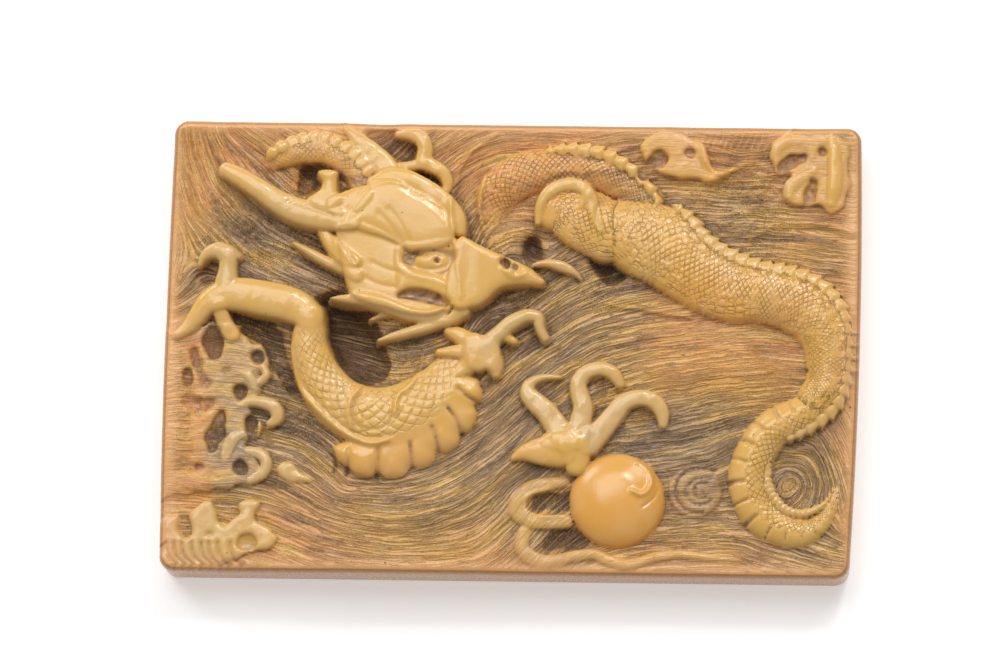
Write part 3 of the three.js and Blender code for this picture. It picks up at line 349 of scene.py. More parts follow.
# The far coils of the body, the clouds and the breaking crests
farForms = {
    "coilFins": {
        "crown": 0.3, "tone": -0.6, "soil": 0.05,
        "teeth": {"pitch": 11.5, "reach": 2.6, "scallop": 1},
        "path": [
            (268, 157, 5, 6.4), (276, 149, 6.5, 6.6), (291, 142, 7, 6.67), (308, 138, 7.5, 6.74),
            (325, 138, 7.5, 6.74), (343, 146, 7.5, 6.74), (357, 157, 7.5, 6.74), (367, 170, 7, 6.74),
        ],
    },
    "archFins": {
        "crown": 0.3, "tone": -0.4, "soil": 0.16,
        "teeth": {"pitch": 13, "reach": 4, "scallop": 0},
        "path": [
            (540, 152, 3, 6.6), (558, 149, 7, 6.95), (580, 149, 9, 7.02), (602, 153, 9, 7.02),
            (621, 162, 9, 7.02), (638, 174, 8, 6.95), (652, 190, 7, 6.88), (662, 206, 4, 6.74),
        ],
    },
    "coilBehindHorn": {
        "crown": 0.77, "tone": -0.3, "polish": 0.7, "soil": 0.28, "keep": 0.1,
        "scales": {
            "long": 0.45, "wide": 0.45, "depth": 0.08, "start": 0.2, "stop": 99, "belly": -2, "ink": 0.6,
        },
        "path": [
            (262, 166, 8, 5.6), (276, 158, 11, 6.3), (291, 152, 12, 6.67), (308, 149, 13, 6.81),
            (325, 150, 13, 6.81), (341, 158, 13, 6.81), (353, 168, 13, 6.74), (360, 180, 12, 6.67),
        ],
    },
    "archBody": {
        "crown": 1.1, "tone": 0.25, "polish": 0.4, "round": 2.2, "soil": 0.34, "keep": 0.06,
        "scales": {
            "long": 0.3, "wide": 0.32, "depth": 0.13, "start": 0.2, "stop": 99, "belly": -2, "ink": 1,
        },
        "path": [
            (497, 240, 19, 5.3), (491, 212, 20, 5.9), (502, 186, 22, 6.5), (530, 170, 22, 6.81),
            (562, 165, 20, 6.95), (594, 168, 19, 6.95), (624, 182, 17, 6.81), (650, 198, 14, 6.6),
        ],
    },
    "maneRibbon": {
        "crown": 0.34, "tone": -1, "blend": 0.2, "soil": 0.1,
        "path": [
            (346, 129, 3, 6.3), (355, 137, 7, 6.55), (368, 150, 11, 6.67), (382, 164, 13, 6.74),
            (388, 171, 12, 6.74),
        ],
    },
    "cloudUpperCurl": {
        "crown": 0.3, "tone": -0.7, "soil": 0.18, "keep": 0.25,
        "path": [
            (566, 482, 5, 5.9), (545, 484, 7, 6.1), (528, 489, 8, 6.2), (517, 500, 9, 6.25),
            (518, 512, 9, 6.25), (530, 520, 8, 6.25), (546, 522, 7, 6.2), (566, 521, 7, 6.1),
        ],
    },
    "cloudRibbon": {
        "crown": 0.3, "tone": -0.9, "polish": 0.8, "blend": 0.15, "soil": 0.18, "keep": 0.25,
        "path": [
            (524, 532, 7, 6.18), (522, 548, 8, 6.23), (534, 559, 8, 6.28), (553, 561, 6.5, 6.28),
            (570, 557, 6, 6.28), (593, 554, 5.5, 6.28), (610, 561, 5.5, 6.28), (630, 564, 5, 6.28),
            (655, 557, 5, 6.23), (680, 554, 4, 6.18), (705, 557, 4, 6.08), (739, 560, 3, 5.98),
        ],
    },
    "crestTop": {
        "crown": 0.3, "tone": -0.8, "blend": 0.2, "soil": 0.08,
        "path": [
            (398, 134, 3.5, 6.3), (411, 134, 6, 6.55), (421, 138, 7.5, 6.74), (425, 148, 7.5, 6.74),
            (424, 160, 8, 6.74), (432, 165, 7, 6.74), (442, 171, 6.5, 6.74), (447, 180, 5.5, 6.67),
            (447, 189, 4, 6.5),
        ],
    },
    "crestBridge": {
        "crown": 0.3, "tone": -0.8,
        "path": [(396, 166, 4, 6.4), (408, 165, 4.5, 6.6), (422, 163, 6, 6.74)],
    },
    "foamFingerA": {
        "crown": 0.26, "tone": -0.8, "blend": 0.2,
        "path": [(238, 371, 3, 6.3), (246, 373, 4, 6.5), (252, 380, 4, 6.5), (255, 389, 3, 6.35)],
    },
    "foamFingerB": {
        "crown": 0.3, "tone": -0.5, "blend": 0.2, "soil": 0.06,
        "path": [
            (236, 405, 4, 6.3), (250, 401, 5, 6.5), (263, 402, 6, 6.6), (274, 407, 6.5, 6.63),
            (277, 417, 6, 6.55), (270, 423, 4, 6.4),
        ],
    },
    "foamFingerC": {
        "crown": 0.26, "tone": -0.9, "blend": 0.2,
        "path": [(224, 462, 5, 6.35), (228, 447, 6, 6.5), (235, 436, 5.5, 6.55), (246, 433, 3.5, 6.45)],
    },
    "foamFingerD": {
        "crown": 0.3, "tone": -0.9, "blend": 0.2,
        "path": [
            (248, 450, 4, 6.4), (259, 453, 5.5, 6.5), (266, 462, 5.5, 6.55), (262, 473, 5.5, 6.5),
            (250, 480, 4, 6.4),
        ],
    },
    "foamFingerE": {
        "crown": 0.26, "tone": -0.6, "blend": 0.25,
        "path": [(262, 366, 3.5, 6.4), (266, 374, 4, 6.5), (261, 381, 4, 6.4)],
    },
    "foamTopRim": {
        "crown": 0.26, "tone": -0.6, "blend": 0.2,
        "path": [
            (777, 163, 3.5, 6.4), (775, 153, 5, 6.55), (783, 143, 5.5, 6.6), (797, 140, 5, 6.55),
            (809, 146, 4.5, 6.5), (813, 157, 3.5, 6.45),
        ],
    },
    "foamTopLobe": {
        "crown": 0.26, "tone": -0.8, "blend": 0.25,
        "path": [(788, 195, 5, 6.5), (791, 185, 6.5, 6.55), (801, 178, 5.5, 6.55), (813, 172, 4, 6.45)],
    },
    "foamTopSpine": {
        "crown": 0.34, "tone": -0.2, "soil": 0.12, "keep": 0.2,
        "path": [
            (831, 138, 4.5, 6.6), (834, 152, 6, 6.74), (835, 170, 7, 6.81), (834, 188, 7, 6.81),
            (831, 203, 5, 6.67),
        ],
    },
    "beardWisp": {
        "crown": 0.26, "tone": -0.8, "polish": 0.7, "soil": 0.1,
        "path": [(370, 320, 1.5, 6.2), (384, 314, 3, 6.5), (400, 311, 4, 6.74)],
    },
    "knuckleBead": {
        "crown": 0.68, "tone": -0.2, "polish": 0.5, "soil": 0.2,
        "path": [(472, 384, 8, 6.6), (473, 391, 8, 6.6)],
    },
}

# Holes bored in the foam
foamHoles = {
    "leftPitA": [(257.3, 357, 5.85, 5.6), (257.8, 358, 5.85, 5.6)],
    "leftPitB": [(241.3, 391, 7.2, 5.6), (241.7, 392, 7.2, 5.6)],
    "leftPitC": [(251.5, 421, 6.3, 5.4), (252.5, 426, 5.85, 5.4), (256, 436, 3.6, 5.8)],
    "leftPitD": [(239.7, 468, 7.65, 5.7), (240, 468.6, 7.65, 5.7)],
    "leftPitE": [(222, 416, 5.4, 5.8), (220, 424, 8.1, 5.7), (215, 438, 8.1, 5.7), (214, 446, 5.4, 5.8)],
    "leftPitF": [(190, 402, 8.1, 6.1), (202, 408, 8.1, 6.05), (210, 402, 3.6, 6.1)],
    "leftPitG": [(187, 374, 4.5, 5.95), (187.8, 381, 4.5, 5.95)],
    "leftPitH": [(226, 370.6, 3, 6.15), (227, 371, 3, 6.15)],
    "leftPitI": [(199.2, 468, 3.5, 6.15), (200, 468, 3.5, 6.15)],
    "leftPitK": [(213, 475, 4.5, 6.25), (217, 477, 4, 6.25)],
    "leftPitM": [(213, 330, 5.4, 5.8), (213, 342, 9.9, 5.4), (214, 353, 7.2, 5.5)],
    "leftPitN": [(196, 352, 5.4, 6.1), (198, 366, 5.4, 6.1), (206, 384, 5.4, 6.1)],
    "cornerPit": [(208.5, 534.5, 4, 6.25), (209.5, 534.5, 4, 6.25)],
    "dripHollow": [(184, 504, 6, 6.15), (185, 518, 5, 6.05), (185.4, 530, 8, 5.95)],
    "cornerPitLow": [(246, 542, 8, 5.8), (250, 542, 8, 5.8)],
    "cornerGap": [(222, 504, 9, 5.6), (230, 508, 9, 5.6)],
    "foamHollowA": [(645, 173, 6, 5.75), (652, 165, 7.5, 5.75), (660, 158, 7, 5.8)],
    "foamHollowB": [(690.5, 153, 3.5, 6.1), (691, 153.6, 3.5, 6.1)],
    "foamHollowC": [(785, 170, 5, 5.95), (793, 162, 7.5, 5.95), (800, 159, 5.5, 6)],
    "foamHollowD": [(822, 151, 3.5, 6.1), (822.5, 153, 3.5, 6.1)],
    "foamHollowE": [(813, 184, 4.5, 5.9), (811, 192, 6, 5.85), (807, 204, 5, 5.9)],
}

# The near body, legs, claws, horn and whiskers
nearForms = {
    "backFins": {
        "crown": 0.4, "tone": -0.5,
        "teeth": {"pitch": 12.5, "reach": 4, "scallop": 0},
        "path": [
            (671, 203, 4, 6.95), (682, 210, 7, 7.05), (692, 220, 9, 7.09), (704, 237, 10, 7.09),
            (727, 253, 10, 7.09), (759, 265, 9, 7.02), (790, 271, 9, 7.02), (817, 281, 9, 6.95),
            (836, 299, 9, 6.95), (845, 320, 8, 6.88), (848, 352, 7, 6.81), (842, 394, 8, 6.81),
            (824, 418, 8, 6.81), (790, 438, 6, 6.88),
        ],
    },
    "tailFins": {
        "crown": 0.25, "tone": -0.4,
        "teeth": {"pitch": 5.5, "reach": 2.4, "scallop": 0},
        "path": [
            (776, 446, 4, 6.74), (768, 462, 5, 6.74), (768, 482, 6, 6.74), (777, 501, 6, 6.67),
            (792, 512, 6, 6.6), (808, 512, 5.5, 6.4), (824, 503, 4, 6.2), (834, 488, 2, 6),
        ],
    },
    "thigh": {
        "crown": 1.06, "tone": 0.6, "polish": 1.12, "blend": 0.3, "round": 2.2, "soil": 0.16,
        "scales": {
            "long": 0.2, "wide": 0.24, "depth": 0.05, "start": 0.25, "stop": 9, "belly": -2, "ink": 1,
        },
        "path": [(552, 216, 14, 6.88), (562, 208, 23, 7.05), (583, 217, 31, 7.16), (608, 230, 31, 7.02)],
    },
    "hipRim": {
        "crown": 0.3, "tone": -0.5, "polish": 1, "blend": 0.3,
        "path": [
            (538, 222, 3, 6.81), (539.5, 206, 4.5, 6.99), (548, 192, 6, 7.12), (565, 184, 6.5, 7.16),
            (581, 186, 6.5, 7.2), (590, 196, 6.5, 7.23), (594, 212, 6, 7.23), (601, 230, 3.5, 7.2),
        ],
    },
    "hipHook": {
        "crown": 0.26, "tone": -0.5, "blend": 0.25,
        "path": [(589, 192, 5, 7.2), (583.5, 199, 3.8, 7.2), (581, 207, 2, 7.12)],
    },
    "bodyNeck": {
        "crown": 1.1, "polish": 1.1, "blend": 0.35, "round": 2.2, "soil": 0.02,
        "scales": {
            "long": 0.46, "wide": 0.4, "depth": 0.06, "start": 1, "stop": 12.4, "belly": -0.72, "ink": 0.6,
        },
        "path": [
            (312, 313, 12, 7.23), (309, 328, 16, 7.3), (309, 348, 19, 7.33), (319, 377, 23, 7.3),
            (339, 402, 27, 7.3), (368, 415, 30, 7.3), (397, 413, 30, 7.23), (424, 401, 29, 7.16),
            (443, 384, 25, 6.95), (456, 366, 20, 6.67),
        ],
    },
    "bodyFlank": {
        "crown": 1.53, "tone": 0.4, "polish": 1.1, "blend": 0.5, "round": 2.1, "soil": 0.07,
        "scales": {
            "long": 0.16, "wide": 0.27, "depth": 0.08, "start": -0.4, "stop": 40, "belly": -0.86,
            "plates": 0.2, "ink": 0.8,
        },
        "path": [
            (625, 224, 28, 7.2), (641, 235, 38, 7.47), (668, 247, 40, 7.58), (693, 266, 37, 7.51),
            (727, 286, 35, 7.44), (767, 292, 31, 7.37), (801, 302, 32, 7.3), (827, 332, 28, 7.23),
            (829, 376, 23, 7.09), (815, 400, 20, 7.12),
        ],
    },
    "tailCoil": {
        "crown": 1.44, "tone": 0.1, "polish": 1.1, "round": 2.1, "soil": 0.03,
        "scales": {
            "long": 0.36, "wide": 0.36, "depth": 0.09, "start": 0, "stop": 99, "belly": -0.12,
            "plates": 0.85, "ink": 0.8,
        },
        "path": [
            (825, 388, 21, 7.09), (806, 410, 19, 7.16), (770, 430, 20, 7.23), (750, 466, 21, 7.16),
            (751, 495, 20, 7.02), (767, 519, 20, 6.88), (795, 532, 17, 6.74), (817, 526, 12, 6.5),
            (833, 505, 8, 6.2), (838, 484, 3.5, 5.9),
        ],
    },
    "foreleg": {
        "crown": 0.77, "tone": -0.1, "polish": 1.08, "blend": 0.4, "round": 2.4,
        "path": [
            (311, 316, 13, 7.23), (298, 307, 17, 7.37), (282, 301, 18, 7.4), (262, 297, 18, 7.4),
            (240, 293, 17, 7.37), (222, 294, 15, 7.3), (208, 301, 12, 7.23), (199, 312, 10, 7.09),
            (190, 324, 8, 6.95), (177, 335, 5, 6.81),
        ],
    },
    "forelegThumb": {
        "crown": 0.51, "tone": -0.6,
        "path": [
            (226, 282, 12, 7.3), (227, 268, 9, 7.3), (227, 257, 9.5, 7.3), (220, 250, 9, 7.3),
            (210, 251, 7, 7.16), (203, 257, 4.5, 7.02), (199.5, 265, 2, 6.88),
        ],
    },
    "forelegSpur": {"crown": 0.42, "tone": -0.8, "path": [(228, 253, 9, 7.23), (238, 256, 3.5, 7.02)]},
    "forelegToe": {
        "crown": 0.42, "tone": 0.1, "blend": 0.5, "soil": 0.12,
        "path": [(219, 308, 8, 6.95), (224, 321, 7.5, 6.74), (232, 334, 8, 6.5)],
    },
    "temple": {
        "crown": 0.42, "blend": 0.9,
        "path": [(336, 205, 10, 7.44), (350, 202, 13, 7.51), (364, 194, 9, 7.44)],
    },
    "frondUpper": {
        "crown": 0.38, "tone": -0.4,
        "path": [
            (294, 243, 2, 6.2), (303, 248, 3.5, 6.5), (323, 259, 5, 6.74), (342, 268, 5.5, 6.95),
            (357, 276, 6, 7.09),
        ],
    },
    "lowerJaw": {
        "crown": 0.38, "tone": -0.6, "polish": 1.12, "blend": 0.3,
        "path": [
            (331, 298, 1.5, 6.95), (342, 298, 4, 7.09), (358, 299, 6, 7.2), (374, 302, 7, 7.23),
            (390, 307, 6.5, 7.23), (408, 314, 6, 7.23), (426, 316.5, 5.5, 7.23), (440, 313, 5, 7.23),
            (450, 306, 3, 7.16),
        ],
    },
    "chinWhisker": {
        "crown": 0.42, "tone": -0.5,
        "path": [
            (462, 309, 8, 7.51), (452, 318, 6, 7.37), (440, 322, 5.5, 7.23), (424, 327, 5.5, 7.09),
            (406, 332, 5, 6.95), (392, 336, 4, 6.81), (379, 340, 2, 6.6),
        ],
    },
    "snoutWhisker": {
        "crown": 0.34, "tone": -0.8, "soil": 0.06,
        "path": [
            (535, 264, 2, 6.6), (548, 262.5, 4, 6.67), (562, 266, 5.5, 6.67), (574, 272, 3.5, 6.5),
            (581, 279, 1.5, 6.2),
        ],
    },
    "horn": {
        "crown": 0.59, "tone": -0.45, "polish": 1.1, "blend": 0.35, "round": 2.4,
        "path": [
            (226, 169, 8, 7.2), (236, 174, 9.2, 7.33), (248, 181, 9.8, 7.44), (262, 190, 10.5, 7.51),
            (280, 202, 12, 7.58), (298, 210, 13.5, 7.62), (318, 215, 13.5, 7.65), (338, 219, 11, 7.65),
            (352, 222, 8, 7.58),
        ],
    },
    "earBlade": {
        "crown": 0.42, "blend": 0.2,
        "path": [(322, 231, 5, 7.02), (332, 243, 8, 7.23), (344, 256, 9, 7.3), (356, 262, 5, 7.3)],
    },
    "browCrest": {
        "crown": 0.38, "polish": 1.15, "blend": 0.4, "soil": 0.04,
        "path": [
            (372, 182, 6, 7.4), (388, 176, 8, 7.51), (404, 177, 9, 7.58), (420, 184, 9, 7.58),
            (436, 194, 9, 7.62), (449, 205, 8, 7.62), (458, 217, 7, 7.62), (460, 230, 6, 7.51),
        ],
    },
    "frontToeUp": {
        "crown": 0.51, "tone": -0.6,
        "path": [
            (484, 348, 11, 7.16), (497, 334, 8, 7.23), (511, 322, 8, 7.3), (526, 315, 7, 7.3),
            (537, 317, 6.5, 7.23), (540, 328, 5, 7.16), (545, 338, 4.5, 7.02),
        ],
    },
    "frontToeBack": {
        "crown": 0.42,
        "path": [(472, 342, 9, 7.09), (458, 334, 8, 7.02), (448, 331, 4.5, 6.88)],
    },
    "frontToeLeft": {
        "crown": 0.42,
        "path": [(474, 352, 10, 7.09), (456, 351, 7, 7.02), (439, 352, 4, 6.88)],
    },
    "frontToeDown": {
        "crown": 0.42, "tone": -0.4,
        "path": [(484, 352, 13, 7.16), (493, 362, 10, 7.09), (496, 374, 4, 7.02)],
    },
    "frontToeLow": {
        "crown": 0.42,
        "path": [(474, 358, 11, 7.16), (465, 367, 8, 7.02), (454, 374, 4.5, 6.88)],
    },
    "frontToeStub": {"crown": 0.26, "path": [(505, 336, 5, 6.95), (514, 341, 3.5, 6.81)]},
    "pearlThumb": {
        "crown": 0.51, "tone": 0.4,
        "path": [(513, 458, 3, 6.67), (525, 452, 8, 6.88), (543, 450, 14, 7.02), (560, 449, 17, 7.09)],
    },
    "pearlPalm": {
        "crown": 0.51, "tone": 0.1, "polish": 1.1, "blend": 0.35,
        "path": [(548, 440, 8, 6.88), (566, 440, 14, 7.05), (576, 450, 14, 7.09), (576, 464, 11, 7.02)],
    },
    "pearlToeLeft": {
        "crown": 0.38, "tone": -0.55, "blend": 0.3, "round": 2.6,
        "path": [
            (566, 440, 13, 7.02), (556, 425, 11.5, 6.99), (546, 411, 10.5, 6.95), (536, 402, 10, 6.88),
            (528, 393, 8, 6.84), (530, 383, 5.5, 6.74), (543, 377, 3.5, 6.6), (560, 377, 2, 6.4),
        ],
    },
    "pearlToeMid": {
        "crown": 0.38, "tone": -0.55, "blend": 0.3, "round": 2.6,
        "path": [
            (577, 438, 12, 7.02), (580, 421, 10.5, 6.99), (583, 407, 9.5, 6.99), (580, 395, 9, 6.95),
            (578, 383, 8, 6.92), (586, 372, 7.5, 6.88), (600, 368, 7, 6.88), (613, 373, 7, 6.81),
            (620, 383, 5, 6.67),
        ],
    },
    "pearlToeRight": {
        "crown": 0.38, "tone": -0.6, "blend": 0.3, "round": 2.6,
        "path": [
            (588, 442, 13, 7.02), (601, 429, 11, 6.99), (613, 415, 10, 6.95), (624, 402, 9, 6.92),
            (640, 397, 8, 6.88), (654, 401, 8, 6.84), (662, 412, 7, 6.74), (663, 424, 4.5, 6.6),
        ],
    },
}

# The head's and the front claw's broad parts
nearPlates = {
    "bellyPlates": {
        "top": 6.99, "crown": 1.1, "bevel": 22, "tone": 0.5, "polish": 1.16, "blend": 0.3, "soil": 0.05,
        "outline": [
            (331, 447), (335, 457), (341, 463), (347, 466), (354, 473), (363, 476), (371, 476), (377, 471),
            (385, 477), (395, 478), (404, 475), (411, 466), (419, 468), (428, 465), (434, 459), (437, 450),
            (445, 452), (453, 448), (459, 441), (460, 432), (468, 431), (474, 423), (477, 413), (474, 404),
            (481, 399), (482, 389), (474, 379), (455, 372), (420, 395), (380, 430), (345, 440),
        ],
    },
    "hornProng": {
        "top": 7.58, "crown": 0.34, "bevel": 6, "tone": -0.4, "blend": 0.4,
        "outline": [
            (317.5, 171), (324, 169), (332, 169.5), (337, 172), (336, 181), (337, 191), (342, 200),
            (334, 207), (320, 206), (307, 199), (314, 193), (320, 188), (322, 181), (319, 176),
        ],
    },
    "cheek": {
        "top": 7.4, "crown": 0.26, "bevel": 16, "tone": -0.05, "polish": 1.22, "blend": 0.9,
        "outline": [
            (336, 228), (350, 222), (372, 228), (392, 238), (404, 248), (402, 256), (410, 268), (428, 273),
            (446, 282), (450, 298), (443, 310), (426, 315), (405, 313), (386, 307), (366, 302), (352, 294),
            (346, 281), (342, 262), (340, 244),
        ],
    },
    "socket": {
        "top": 7.33, "crown": 0.26, "bevel": 6, "polish": 1.1, "blend": 0.5,
        "outline": [
            (398, 246), (420, 244), (445, 240), (458, 240), (458, 268), (448, 286), (430, 282), (408, 276),
            (396, 266),
        ],
    },
    "upperLip": {
        "top": 7.58, "crown": 0.34, "bevel": 8, "tone": -0.1, "polish": 1.1, "blend": 0.25,
        "outline": [
            (398, 266), (412, 270), (430, 274), (442, 281), (448, 290), (449, 300), (440, 299), (426, 292),
            (410, 289), (398, 289),
        ],
    },
    "brow": {
        "top": 7.86, "crown": 0.51, "bevel": 22, "tone": -0.1, "polish": 1.25, "blend": 0.5,
        "outline": [
            (346, 222), (354, 205), (366, 188), (380, 180), (398, 181), (416, 191), (432, 200), (448, 214),
            (456, 225), (453, 237), (445, 245), (425, 251), (411, 250), (398, 243), (382, 236), (362, 230),
        ],
    },
    "snout": {
        "top": 7.79, "crown": 0.51, "bevel": 11, "fall": -0.1, "polish": 1.25, "blend": 0.3,
        "outline": [
            (461, 236), (477, 243), (492, 250), (513, 259), (528, 266), (539, 275), (544, 281), (540, 284),
            (527, 283), (513, 284), (503, 286), (494, 292), (487, 299), (480, 304), (471, 307), (460, 309),
            (452, 306), (447, 299), (446, 286), (449, 268), (453, 250),
        ],
    },
    "frontPalm": {
        "top": 7.2, "crown": 0.34, "bevel": 7, "tone": -0.3,
        "outline": [
            (464, 338), (472, 332), (482, 334), (492, 337), (499, 346), (500, 360), (496, 372), (486, 369),
            (478, 371), (468, 366), (462, 352),
        ],
    },
}

# The hollows round the eye and in the mouth
eyeSocket = [(409, 259, 6, 7.02), (422, 261, 10, 6.99), (440, 260, 10, 6.99), (450, 257, 6, 7.09)]
mouth = [
    (400, 296, 2, 6.95), (410, 295, 4.5, 6.81), (424, 297, 5.5, 6.74), (438, 301, 4.5, 6.74),
    (447, 305, 2, 6.88),
]

# Bosses with a round or oval outline
domes = {
    "cloudDisc": {
        "at": (695, 490.5), "half": (27, 27), "top": 6.2, "drop": 0.45, "tone": -0.4, "polish": 0.25,
        "soil": 0.4, "keep": 0.35,
    },
    "pearl": {"at": (617, 500), "half": (48, 48), "top": 7.54, "drop": 1.9, "tone": 1, "polish": 1.25},
    "eye": {"at": (431.5, 261), "half": (17.5, 9), "top": 7.51, "drop": 0.5},
    "nostrilLobe": {"at": (509, 269), "half": (9, 7), "top": 7.82, "drop": 0.45},
}

# The nostrils and the pupil
faceHoles = {
    "noseHoleA": [(505, 263, 3.3, 6.81), (506.5, 265, 3.3, 6.81)],
    "noseHoleB": [(515, 267, 2.1, 7.09), (516, 268, 2.1, 7.09)],
    "eyeHole": [(436.5, 260.6, 1.8, 7.09), (437.6, 261.4, 1.8, 7.09)],
}

# Single lines, cut where depth is above 0 and raised where it is below
marks = {
    "hornCrease": {
        "level": 7.58, "width": 0.1, "depth": 0.16,
        "paths": [[(288, 200), (305, 206), (320, 211), (334, 216)]],
    },
    "eyelidsAndEar": {
        "level": 7.58, "width": 0.1, "depth": 0.22,
        "paths": [
            [(339, 240), (346, 248), (351, 256), (355, 262)],
            [(403, 249), (413, 253), (427, 254.5)],
            [(410, 267.6), (425, 272.5), (441, 273.4), (451, 266.5)],
        ],
    },
    "faceFolds": {
        "level": 7.58, "width": 0.17, "depth": 0.07,
        "paths": [
            [(327, 236), (335, 250), (347, 262)],
            [(333, 231), (342, 242), (352, 252)],
            [(372, 262), (384, 268), (398, 272)],
            [(362, 276), (378, 284), (394, 287)],
            [(386, 309), (405, 314), (426, 315)],
        ],
    },
    "browFlutes": {
        "level": 7.58, "width": 0.2, "depth": 0.06,
        "paths": [
            [(389, 209), (398, 220), (405, 232), (409, 240)],
            [(379, 214), (390, 225), (399, 238)],
            [(468, 250), (470, 264), (468, 279)],
        ],
    },
    "neckLines": {
        "level": 7.23, "width": 0.1, "depth": 0.16,
        "paths": [
            [(293, 345), (296, 366), (304, 386), (323, 407), (346, 428), (370, 437), (390, 434)],
            [(369, 387), (355, 406), (357, 424), (373, 429), (388, 424), (392, 406), (386, 389)],
        ],
    },
    "plateCuts": {
        "level": 6.88, "width": 0.17, "depth": 0.28,
        "paths": [
            [(332, 447), (335, 458), (334, 470)],
            [(348, 449), (348, 460), (346, 473)],
            [(378, 449), (378, 461), (376, 476)],
            [(410, 443), (411, 453), (412, 466)],
            [(432, 427), (436, 438), (438, 449)],
            [(448, 408), (455, 418), (462, 434)],
            [(458, 388), (467, 396), (478, 402)],
        ],
    },
    "hipCurl": {
        "level": 7.3, "width": 0.1, "depth": 0.16,
        "paths": [[(603, 232), (597, 219), (597, 208), (602, 201), (612, 197), (628, 195)]],
    },
    "pearlGroove": {
        "level": 7.3, "width": 0.09, "depth": 0.2,
        "paths": [[(657, 489), (652, 499), (642, 506.6)]],
    },
    "discArcs": {
        "level": 6, "width": 0.17, "depth": 0.2,
        "paths": [
            [(712, 477), (697, 479), (688, 486), (687, 496), (692, 503), (702, 505), (711, 500)],
            [(707, 484), (698, 484), (694, 491), (698, 498), (706, 497)],
            [(715, 470), (700, 468), (684, 473), (676, 485), (677, 499), (688, 511), (703, 512)],
        ],
    },
    "bridgeRidge": {
        "level": 7.58, "width": 0.22, "depth": -0.1,
        "paths": [[(461, 247), (461.5, 262), (461, 279)]],
    },
    "noseRim": {
        "level": 7.58, "width": 0.16, "depth": -0.2,
        "paths": [[(502, 256), (504, 270), (514, 277), (525, 274)]],
    },
    "bellyRidge": {
        "level": 7.09, "width": 0.22, "depth": -0.34,
        "paths": [[(288, 345), (291, 368), (299, 389), (320, 412), (344, 433), (369, 443), (388, 440)]],
    },
    "leafRim": {
        "level": 7.16, "width": 0.2, "depth": -0.26,
        "paths": [[(362, 383), (349, 404), (351, 428)]],
    },
    "looseHair": {
        "level": 6.88, "width": 0.2, "depth": -0.26,
        "paths": [[(421.7, 354), (420.5, 366), (410, 385), (398, 396), (395, 412)]],
    },
    "pearlComma": {
        "level": 7.37, "width": 0.2, "depth": -0.3,
        "paths": [
            [(633, 491), (640, 494.5), (647, 491.5), (651.5, 482), (649, 472), (641, 463.5), (635, 460.7)],
        ],
    },
    "highCrestArc": {
        "level": 6.2, "width": 0.36, "depth": -0.3,
        "paths": [[(704, 148), (707, 162), (717, 170.5), (727, 172), (744, 163.5), (761, 165), (773, 173)]],
    },
    "middleCrestArc": {
        "level": 6, "width": 0.36, "depth": -0.3,
        "paths": [[(712, 180), (732, 171), (748, 170), (764, 177)]],
    },
    "lowCrestArc": {
        "level": 5.9, "width": 0.36, "depth": -0.3,
        "paths": [[(712, 186), (740, 179), (766, 186)]],
    },
    "farArc": {
        "level": 5.8, "width": 0.36, "depth": -0.3,
        "paths": [[(750, 240), (772, 226), (800, 222), (830, 226), (852, 234)]],
    },
    "fallLine": {
        "level": 5.7, "width": 0.2, "depth": -0.3,
        "paths": [[(462, 300), (458, 262), (452, 216), (456, 180), (472, 152), (496, 136)]],
    },
    "archLine": {
        "level": 5.8, "width": 0.2, "depth": -0.3,
        "paths": [[(485, 176), (480, 196), (480, 218), (487, 236)]],
    },
    "cloudRim": {
        "level": 6.2, "width": 0.16, "depth": -0.2,
        "paths": [[(562, 491), (545, 491), (530, 495), (526, 503), (530, 511), (545, 515.5), (562, 514)]],
    },
    "underLeaf": {
        "level": 5.9, "width": 0.2, "depth": -0.3,
        "paths": [[(610, 305), (640, 309), (668, 314), (690, 317)]],
    },
}

# Rows of short grooves: where each starts across the sheet, and the line they share
combs = {
    "cornerComb": {
        "level": 6.2, "width": 0.14, "depth": 0.3,
        "starts": (166, 174, 182, 191.5, 201.3, 208.6, 217.6, 230),
        "path": [(0, 543), (1, 552), (5, 560), (15, 567)],
    },
    "crestComb": {
        "level": 6.2, "width": 0.12, "depth": 0.12,
        "starts": (707, 713, 719, 725, 731, 738, 745, 752, 759, 766),
        "path": [(2, 136), (0, 141), (-4, 148)],
    },
}

# Stippled patches: x, y and reach on the sheet, and how rough
roughPatches = [
    (232, 200, 26, 0.6), (300, 182, 14, 0.8), (792, 488, 22, 0.6), (330, 280, 24, 0.8), (420, 325, 20, 0.7),
    (226, 420, 46, 0.8), (212, 350, 34, 0.8), (814, 190, 11, 1), (826, 152, 9, 1), (794, 160, 13, 1),
    (656, 160, 12, 0.5), (740, 222, 60, 0.7), (520, 205, 40, 0.5), (215, 250, 24, 0.6), (272, 240, 38, 1),
    (318, 246, 22, 0.9), (400, 352, 26, 0.9), (745, 215, 34, 0.9), (600, 290, 26, 0.9), (300, 425, 24, 1),
    (278, 380, 16, 1), (515, 296, 26, 0.9), (252, 326, 18, 0.7), (213, 345, 12, 0.7), (612, 440, 22, 0.6),
    (545, 410, 14, 0.5), (600, 388, 10, 0.8), (640, 412, 10, 0.7), (548, 502, 14, 0.7), (562, 541, 14, 0.5),
    (300, 178, 24, 0.8), (510, 215, 26, 0.35), (395, 145, 18, 0.4), (800, 160, 10, 0.5), (814, 194, 9, 0.9),
    (795, 480, 12, 0.5), (230, 512, 10, 0.7), (500, 240, 20, 0.6),
]

